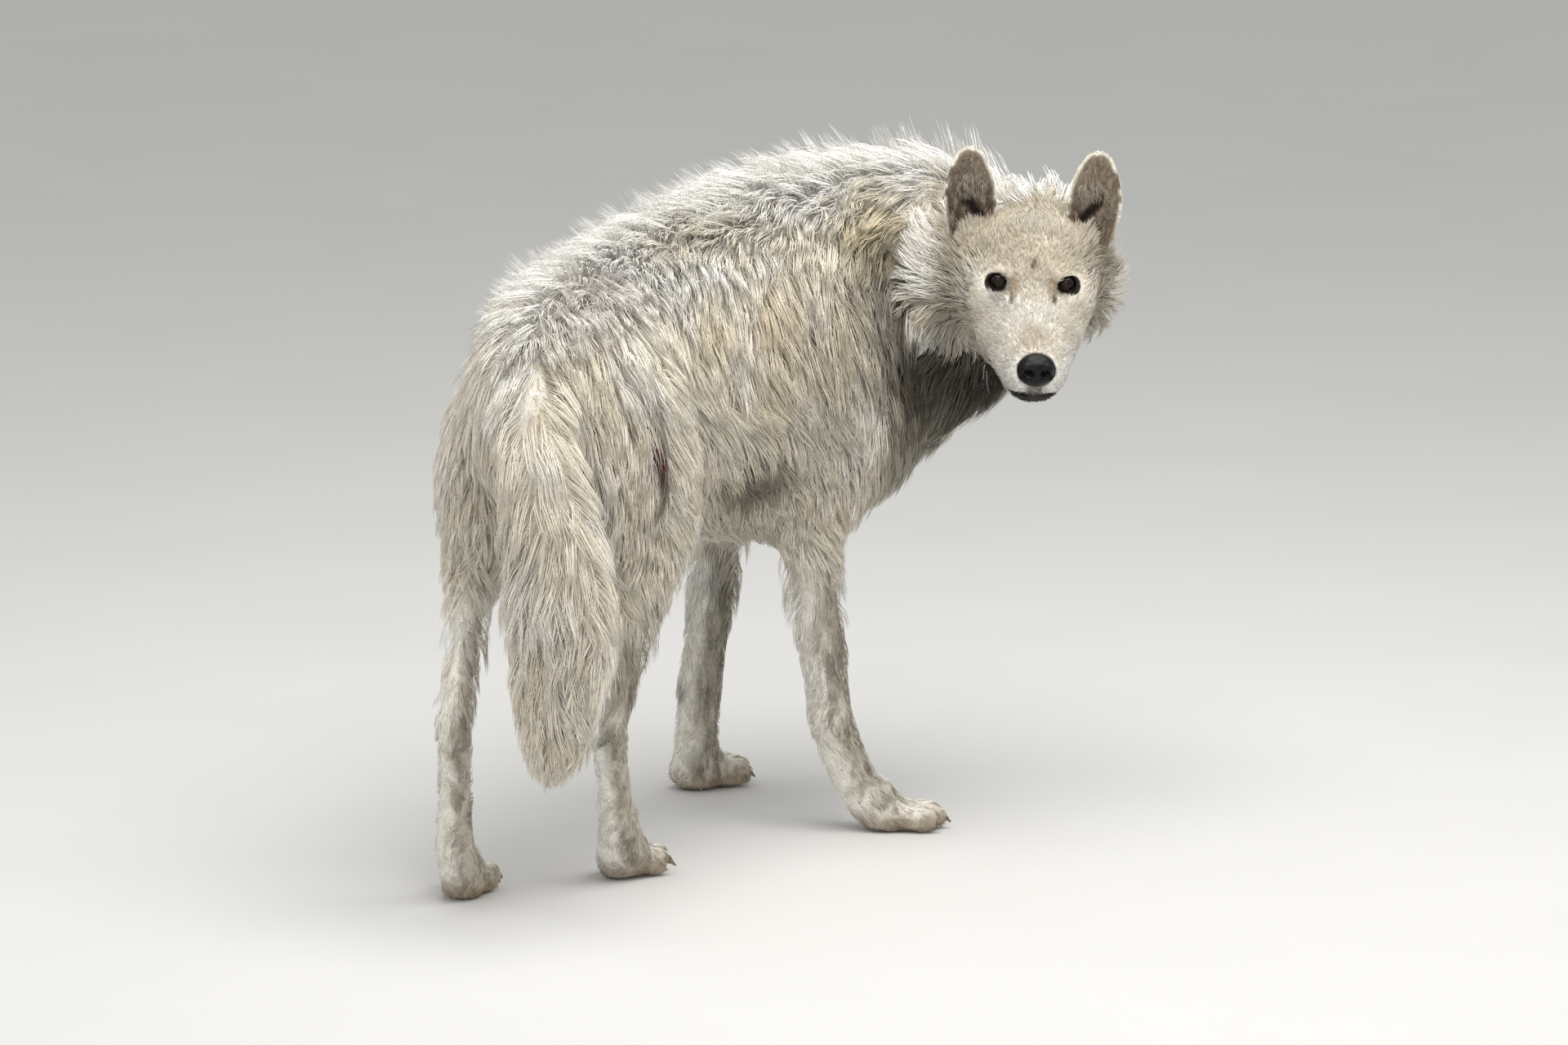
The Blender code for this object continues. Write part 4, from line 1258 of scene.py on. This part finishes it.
def locks_along(control, normal, shape, wide, swing, phase):
    """Points of all the locks: the pattern laid along each curve, which swings to its sides."""
    verts = np.empty((len(wide), len(shape), 3))
    for level in np.unique(shape[:, 2].round(4)):
        spot, way = curve_at(control, level)
        sideways = unit(np.cross(normal, way))
        upward = np.cross(way, sideways)
        spot = spot + sideways * (swing * level * np.sin(phase + level * 5.0))[:, None]
        for point in np.flatnonzero(np.abs(shape[:, 2] - level) < 1e-3):
            verts[:, point] = (spot + sideways * (shape[point, 0] * wide)[:, None]
                               + upward * (shape[point, 1] * wide * FLATNESS)[:, None])
    verts[:, :, 2] = np.maximum(verts[:, :, 2], FLOOR_GAP)
    return verts


def lock_tints(hair_tint, shape, over):
    """Colours of all the locks' points, darkened a little by painted shade towards the roots where the coat
    is deep.
    """
    # painted shade deep in the coat: each lock darkens a little towards its root
    root_shade = mix(0.95, 1.0, step(0.0, 0.75, shape[:, 2]))
    root_shade = mix(1.0, root_shade, 0.4 + 0.6 * step(0.004, 0.02, over)[:, None])
    tints = np.ones((len(over), len(shape), 4))
    tints[:, :, :3] = hair_tint[:, None, :] * root_shade[:, :, None]
    return tints


def grow(name, chosen, count, pattern, stand=0.0, clump=0.03, pull=0.75, wave=0.0, spread=0.35,
         slim=1.0, longer=1.0, rise_to=(0.50, 1.00), free=0.0, bleach=0.0, uneven=0.08):
    """A coat piece: locks over the chosen triangles of the skin."""
    chosen = np.flatnonzero(chosen)
    sheet = unwrap(chosen)
    picks, weights = scatter(chosen, count)
    rows = chosen[picks]
    roots = borrowed(corners, rows, weights)
    normal = unit(borrowed(skin_normals[triangles], rows, weights))
    lie = unit(borrowed(skin_lie[triangles], rows, weights))
    over = borrowed(skin_depth[triangles], rows, weights)
    length = lock_length(over) * draw.uniform(*LENGTHS, count) * longer
    across = np.cross(normal, lie)
    turn = (speckle(roots, SWIRL) - 0.5) * 1.2 + draw.normal(0.0, 0.5, count) * spread
    lie = unit(lie * np.cos(turn)[:, None] + across * np.sin(turn)[:, None])
    lift = over * draw.uniform(*rise_to, count)

    lying, landing_normal = lying_tips(roots, normal, lie, length, lift, free)
    standing = roots + unit(normal + lie * 0.55) * (length * 0.92)[:, None]
    upright = np.clip(stand * draw.uniform(0.5, 1.3, count), 0.0, 1.0)[:, None]
    tip = mix(lying, standing, upright)
    low = roots - normal * np.minimum(ROOT_DEPTH, over * 0.5)[:, None]
    rise = roots + normal * (lift * 0.75)[:, None] + lie * (length * 0.16)[:, None]
    rise = mix(rise, mix(low, tip, 0.33), upright)
    bend = mix(tip, rise, 0.38) + (normal + landing_normal) * (lift * 0.10)[:, None]
    control, mine = gathered([low, rise, bend, tip], roots, clump, pull)
    control, _ = gathered(control, roots, min(1.0, clump * 4), pull * SECOND_CLUMP)

    shape, faces = pattern
    wide = lock_width(over) * draw.uniform(*WIDTHS, count) * 0.5 * slim
    phase = draw.random(count)[mine] * FULL_TURN
    verts = locks_along(control, normal, shape, wide, wave * length, phase)
    shown_at = mix(roots, control[3], 0.62)
    from_ear = is_ear[triangles[rows, 0]]
    hair_tint = coat_colour(shown_at, normal, skin_owner[triangles[rows, 0]], from_ear, np.zeros(count))
    lighter = draw.uniform(1 - uneven, 1 + uneven * 0.7, count)[:, None]
    hair_tint = mix(hair_tint, linear(OLD_HAIR), bleach) * lighter

    patch = np.column_stack((0.5 + 0.45 * shape[:, 0], 0.1 + 0.8 * shape[:, 2] + 0.08 * shape[:, 1]))
    at = borrowed(sheet, picks, weights)
    places = at[:, None, :] + (patch - 0.5)[None] * PATCH
    add_piece(name, verts, faces, lock_tints(hair_tint, shape, over), places)


def add_piece(name, verts, faces, tints, places):
    """One mesh object of many locks, with its colours and its OFBake map."""
    count, size = verts.shape[:2]
    index = (faces[None] + (np.arange(count) * size)[:, None, None]).reshape(-1, 3)
    mesh = bpy.data.meshes.new(name)
    mesh.vertices.add(count * size)
    mesh.vertices.foreach_set("co", verts.ravel())
    mesh.loops.add(index.size)
    mesh.loops.foreach_set("vertex_index", index.ravel())
    mesh.polygons.add(len(index))
    mesh.polygons.foreach_set("loop_start", np.arange(len(index)) * 3)
    mesh.update(calc_edges=True)
    mesh.shade_smooth()
    layer = mesh.color_attributes.new("tint", "FLOAT_COLOR", "POINT")
    layer.data.foreach_set("color", tints.ravel())
    unwrapped = mesh.uv_layers.new(name="OFBake")
    unwrapped.data.foreach_set("uv", places.reshape(-1, 2)[index.ravel()].ravel())
    mesh.materials.append(hair_finish)
    piece = bpy.data.objects.new(name, mesh)
    SHOWN.objects.link(piece)
    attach(piece, "root")
    print(name, count, "locks", len(index), "triangles")


print("locks where the coat is deepest are", round(float(lock_length(skin_depth.max())), 3), "m long")

# %% [markdown]
# ## The coat, region by region
# The coat is made in regions, each its own piece. The long hair of the mane stands, the flanks lie and
# hang in locks, the ruff is dense and soft, and the face, ears, legs and feet wear short hair that only
# breaks the form.

# %% The coat, region by region
def every(mask):
    """Triangles by the mask of their first corner."""
    return mask[triangles[:, 0]]


def spine_side(places):
    """Distance to the left of the line of the back."""
    along = (places[:, 0] - PELVIS_X) / (SHOULDER_X - PELVIS_X)
    return places[:, 1] - (SPINE_Y + SPINE_BOW * (1 - (2 * along - 1) ** 2))


NOSE_HALF = np.array((0.0150, 0.0236, 0.0208))  # half depth, width and height of the nose leather
LONG_HAIR = 0.0085  # where the head's coat is deeper it is the ruff, and face where it isn't

leftness = spine_side(triangle_middle)
high = step(0.50, 0.85, skin_normals[:, 2]) * step(0.58, 0.66, skin_points[:, 2])
mane = every((high > 0.5) & (on_trunk | on_neck))
face = every((on_head | is_lid) & ~is_ear & (skin_depth < LONG_HAIR))
face &= lid_share(in_head(triangle_middle), 1.36, 1.24) < 0.1
face &= mouth_distance(in_head(triangle_middle)) > 0.0030
nose_offset = (in_head(triangle_middle) - in_head([nose_at])[0]) / NOSE_HALF
face &= np.linalg.norm(nose_offset, axis=1) > 1.06
ear_foot = every(on_head & ~is_ear & ~is_lid & (ear_foot_distance(head_places) < 0.056))
ruff = every(on_head & ~is_ear & ~is_lid & (skin_depth >= LONG_HAIR))
front, side, top = one_side(head_places).T
crown = every(on_head & ~is_ear & ~is_lid & (front < -0.022) & (side < 0.100) & (top > 0.030))
long_hair = every(on_trunk | on_neck) & ~mane
thighs = long_hair & (triangle_middle[:, 0] < -0.12) & (triangle_middle[:, 2] < 0.60)
trunk_only = long_hair & ~thighs & every(on_trunk)
neck_only = long_hair & every(on_neck)
ground_contact = triangle_middle[:, 2] < 0.004
right_side = leftness < 0
crest = mane & (np.abs(leftness) < 0.055) & (triangle_middle[:, 2] > 0.66)
facing_front = skin_normals @ np.array(to_front) > 0.1
fan_distance = line_distance(one_side(in_head(triangle_middle)), EAR_DOWN)
ear_fan = every(is_ear & facing_front) & (fan_distance < 0.012)
print("skin's triangles under the mane", mane.sum(), "under the ruff", ruff.sum(), "on the face", face.sum())

# %% [markdown]
# ## The coat's pieces
# Now each region grows its hair. The settings say how its locks behave: how upright they stand, into how
# many tufts they part and how tightly those are drawn together, how wavy, thin and long the locks are,
# how far they turn from the lie, and how freely they hang where the body falls away under them.

# %% The coat's pieces
FLANK = dict(clump=0.12, pull=0.50, wave=0.03, longer=1.2, free=0.5)
THIGH = dict(clump=0.10, pull=0.60, wave=0.04, longer=1.1, free=0.5)
grow("coat_mane", mane, 8500, LONG_LOCK, stand=0.20, clump=0.16, pull=0.25, wave=0.02, rise_to=(0.50, 1.0))
grow("coat_crest", crest, 3000, LONG_LOCK,
     stand=0.95, clump=0.16, pull=0.40, slim=0.5, longer=0.88, spread=0.7)
grow("coat_flank_right", trunk_only & right_side, 12000, LONG_LOCK, **FLANK)
grow("coat_flank_left", trunk_only & ~right_side, 9200, LONG_LOCK, **FLANK)
grow("coat_thigh_right", thighs & right_side, 6800, LONG_LOCK, **THIGH)
grow("coat_thigh_left", thighs & ~right_side, 6500, LONG_LOCK, **THIGH)
grow("coat_neck", neck_only, 7500, LONG_LOCK, clump=0.12, pull=0.50, wave=0.03, longer=1.1, free=0.4)
grow("coat_ruff", ruff, 9500, LONG_LOCK,
     clump=0.18, pull=0.30, wave=0.015, longer=1.2, rise_to=(0.65, 1.15), free=0.65)
grow("coat_crown", crown, 2600, LONG_LOCK,
     stand=0.22, clump=0.22, pull=0.25, longer=1.25, slim=0.8, spread=0.5, free=0.5)
grow("coat_ear_foot", ear_foot, 1700, LONG_LOCK,
     stand=0.30, clump=0.25, pull=0.3, longer=1.5, slim=0.9, spread=0.6, free=0.5)
grow("coat_tail", every(on_tail), 5500, LONG_LOCK, clump=0.10, pull=0.60, wave=0.03, longer=1.1, free=0.9)
grow("coat_face", face, 15000, SHORT_LOCK,
     clump=0.25, pull=0.20, spread=0.30, slim=0.95, rise_to=(0.35, 1.20), uneven=0.22)
grow("coat_ears", every(is_ear), 3600, SHORT_LOCK, clump=0.2, pull=0.3, spread=0.3)
grow("coat_ear_fringe", ear_fan, 420, LONG_LOCK,
     stand=0.12, clump=0.15, pull=0.4, longer=1.7, slim=0.8, spread=0.5, bleach=0.45)
grow("coat_legs", every(on_leg), 7400, SHORT_LOCK, clump=0.10, pull=0.5, spread=0.25, longer=1.3, slim=1.2)
grow("coat_feet", every(on_foot) & ~ground_contact, 7000, SHORT_LOCK,
     clump=0.1, pull=0.4, spread=0.25, longer=1.2, slim=1.4)

# %% [markdown]
# ## Eyes
# A wolf's eye is a wet ball with a dark brown iris, a round pupil and a clear bulge, the cornea, over
# both. The ball is a sphere operator's work; the bulge is a smooth push of the points near the gaze. Iris
# and pupil are rings of colour by the distance from the gaze, with the fine spokes of the iris muscle
# between them.

# %% Eyes
CORNEA = 0.0009
IRIS_RADIUS = 0.0098
PUPIL_RADIUS = 0.0042


def eye_finish(side):
    """The eyeball's finish: rings of colour round the gaze."""
    made, tree, shader = shader_of(f"wet_eye_{side}")
    across, up = (Vector(v @ head_turn) for v in eye_directions(side)[1:])
    coordinates = add_node(tree, "ShaderNodeTexCoord").outputs["Object"]
    offset = add_node(tree, "ShaderNodeVectorMath", {"operation": "SUBTRACT"})
    tree.links.new(coordinates, offset.inputs[0])
    offset.inputs[1].default_value = eye_at[side]
    parts = []
    for axis in (across, up):
        dot = add_node(tree, "ShaderNodeVectorMath", {"operation": "DOT_PRODUCT"})
        tree.links.new(offset.outputs["Vector"], dot.inputs[0])
        dot.inputs[1].default_value = axis
        parts.append(dot.outputs["Value"])
    flat = add_node(tree, "ShaderNodeCombineXYZ", X=parts[0], Y=parts[1])
    radius = add_node(tree, "ShaderNodeVectorMath", {"operation": "LENGTH"}, Vector=flat.outputs["Vector"])
    direction = add_node(tree, "ShaderNodeVectorMath", {"operation": "NORMALIZE"},
                         Vector=flat.outputs["Vector"])
    spokes = add_node(tree, "ShaderNodeTexNoise", Vector=direction.outputs["Vector"], Scale=9.0, Detail=4.0)
    place_on_eye = add_node(tree, "ShaderNodeMath", {"operation": "DIVIDE"})
    tree.links.new(radius.outputs["Value"], place_on_eye.inputs[0])
    place_on_eye.inputs[1].default_value = BALL
    ramp = add_node(tree, "ShaderNodeValToRGB", Fac=place_on_eye.outputs["Value"])
    stops = ((0.0, "#050404"), (PUPIL_RADIUS / BALL, "#070504"), (PUPIL_RADIUS / BALL + 0.08, "#25140D"),
             (0.62, "#1E110B"), (IRIS_RADIUS / BALL, "#0B0706"), (1.0, "#14100E"))
    while len(ramp.color_ramp.elements) < len(stops):
        ramp.color_ramp.elements.new(0.5)
    for element, (at, code) in zip(ramp.color_ramp.elements, stops):
        element.position = at
        element.color = (*linear(code), 1.0)
    glow = add_node(tree, "ShaderNodeMapRange", Value=spokes.outputs["Fac"], To_Min=0.6, To_Max=1.5)
    colour = add_node(tree, "ShaderNodeVectorMath", {"operation": "SCALE"}, Vector=ramp.outputs["Color"],
                      Scale=glow.outputs["Result"])
    tree.links.new(colour.outputs["Vector"], shader.inputs["Base Color"])
    shader.inputs["Roughness"].default_value = 0.06
    shader.inputs["IOR"].default_value = 1.38
    return made


def add_eye(side):
    """One eyeball with its cornea."""
    out = eye_directions(side)[0] @ head_turn
    bm = bmesh.new()
    turn = Vector((0, 0, 1)).rotation_difference(Vector(out)).to_matrix().to_4x4()
    bmesh.ops.create_uvsphere(bm, u_segments=48, v_segments=32, radius=BALL * 0.985,
                              matrix=Matrix.Translation(eye_at[side]) @ turn)
    for vert in bm.verts:
        away = vert.co - eye_at[side]
        from_gaze = away.angle(Vector(out))
        vert.co += away.normalized() * CORNEA * max(0.0, 1 - (from_gaze / 0.75) ** 2)
    mesh = as_mesh(bm, f"eyeball_{side}")
    mesh.materials.append(eye_finish(side))
    mesh.shade_smooth()
    ball = bpy.data.objects.new(f"eyeball_{side}", mesh)
    SHOWN.objects.link(ball)
    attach(ball, "root")
    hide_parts(f"eye_{side}")
    print(ball.name, len(mesh.polygons), "faces")


for side in eye_at:
    add_eye(side)

# %% [markdown]
# ## The nose leather
# The bare pad of the nose is black, damp and pebbled. Two comma-shaped nostrils open at its front and run
# out to its sides, and a groove parts it from between them down to the lip. The solid gives its size and
# place. A finer copy is shaped by soft-edged pushes, given in shares of its own half width, height and
# depth.

# %% The nose leather
PUSHES = [  # middle, radius, push, all in shares of the nose's half sizes. Each is mirrored.
    ((0.86, 0.36, -0.02), 0.34, (-0.75, 0.05, 0.10)),
    ((0.62, 0.66, -0.20), 0.24, (-0.42, -0.10, 0.08)),
    ((0.40, 0.88, -0.34), 0.20, (-0.22, -0.16, 0.05)),
    ((0.75, 0.62, 0.30), 0.45, (0.10, 0.10, 0.04)),
    ((0.95, 0.00, -0.35), 0.16, (-0.16, 0.0, 0.0)),
    ((0.90, 0.00, -0.62), 0.16, (-0.18, 0.0, 0.0)),
    ((0.55, 0.20, 0.90), 0.50, (0.06, 0.0, -0.10)),
]


def nose_leather():
    """The finish of the nose: black, pebbled and damp."""
    made, tree, shader = shader_of("nose_leather")
    coordinates = add_node(tree, "ShaderNodeTexCoord").outputs["Object"]
    pebbles = add_node(tree, "ShaderNodeTexVoronoi", Vector=coordinates, Scale=1 / 0.0013)
    cloud = add_node(tree, "ShaderNodeTexNoise", Vector=coordinates, Scale=1 / 0.012, Detail=3.0)
    ramp = add_node(tree, "ShaderNodeValToRGB", Fac=cloud.outputs["Fac"])
    ramp.color_ramp.elements[0].color = (*linear("#040405"), 1.0)
    ramp.color_ramp.elements[1].color = (*linear("#0C0C0F"), 1.0)
    tree.links.new(ramp.outputs["Color"], shader.inputs["Base Color"])
    bump = add_node(tree, "ShaderNodeBump", {"invert": True}, Height=pebbles.outputs["Distance"],
                    Strength=0.35, Distance=0.0004)
    tree.links.new(bump.outputs["Normal"], shader.inputs["Normal"])
    rough = add_node(tree, "ShaderNodeMapRange", Value=cloud.outputs["Fac"], To_Min=0.30, To_Max=0.46)
    tree.links.new(rough.outputs["Result"], shader.inputs["Roughness"])
    shader.inputs["Specular IOR Level"].default_value = 0.24
    return made


bm = merged("nose")
bmesh.ops.subdivide_edges(bm, edges=bm.edges[:], cuts=2, use_grid_fill=True, smooth=1.0)
bmesh.ops.triangulate(bm, faces=bm.faces[:])
bmesh.ops.subdivide_edges(bm, edges=bm.edges[:], cuts=1)
soften(bm, bm.verts[:], 0.5, 2)
bmesh.ops.triangulate(bm, faces=bm.faces[:])
nose_mesh = as_mesh(bm, "nose_pad")
shares = (in_head(positions(nose_mesh)) - in_head([nose_at])[0]) / NOSE_HALF
for middle, radius, push in PUSHES:
    for hand in (1, -1) if middle[1] else (1,):
        flip = np.array((1, hand, 1))
        near = step(1.0, 0.0, np.linalg.norm(shares - np.array(middle) * flip, axis=1) / radius)
        shares = shares + near[:, None] * np.array(push) * flip
place(nose_mesh, from_head(in_head([nose_at])[0] + shares * NOSE_HALF))
nose_mesh.materials.append(nose_leather())
nose_mesh.shade_smooth()
nose_pad = bpy.data.objects.new("nose_pad", nose_mesh)
SHOWN.objects.link(nose_pad)
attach(nose_pad, "root")
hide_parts("nose")
print("nose", len(nose_mesh.polygons), "triangles")

# %% [markdown]
# ## Claws
# The claws are worn blunt and are the right shape in the solids, so they stay and only get their finish:
# horn, a brown keratin in fine layers.

# %% Claws
claw_horn, tree, shader = shader_of("claw_horn")
coordinates = add_node(tree, "ShaderNodeTexCoord").outputs["Object"]
layers_of_horn = add_node(tree, "ShaderNodeTexNoise", Vector=coordinates, Scale=1 / 0.0025, Detail=4.0)
ramp = add_node(tree, "ShaderNodeValToRGB", Fac=layers_of_horn.outputs["Fac"])
ramp.color_ramp.elements[0].position = 0.35
ramp.color_ramp.elements[0].color = (*linear("#4A3E33"), 1.0)
ramp.color_ramp.elements[1].position = 0.70
ramp.color_ramp.elements[1].color = (*linear("#8F7D67"), 1.0)
tree.links.new(ramp.outputs["Color"], shader.inputs["Base Color"])
bump = add_node(tree, "ShaderNodeBump", Height=layers_of_horn.outputs["Fac"], Strength=0.3, Distance=0.0003)
tree.links.new(bump.outputs["Normal"], shader.inputs["Normal"])
shader.inputs["Roughness"].default_value = 0.38
for name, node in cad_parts.items():
    if "_claw_" in name:
        for slot in node.material_slots:
            slot.material = claw_horn
print("claws finished", sum("_claw_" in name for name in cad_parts))
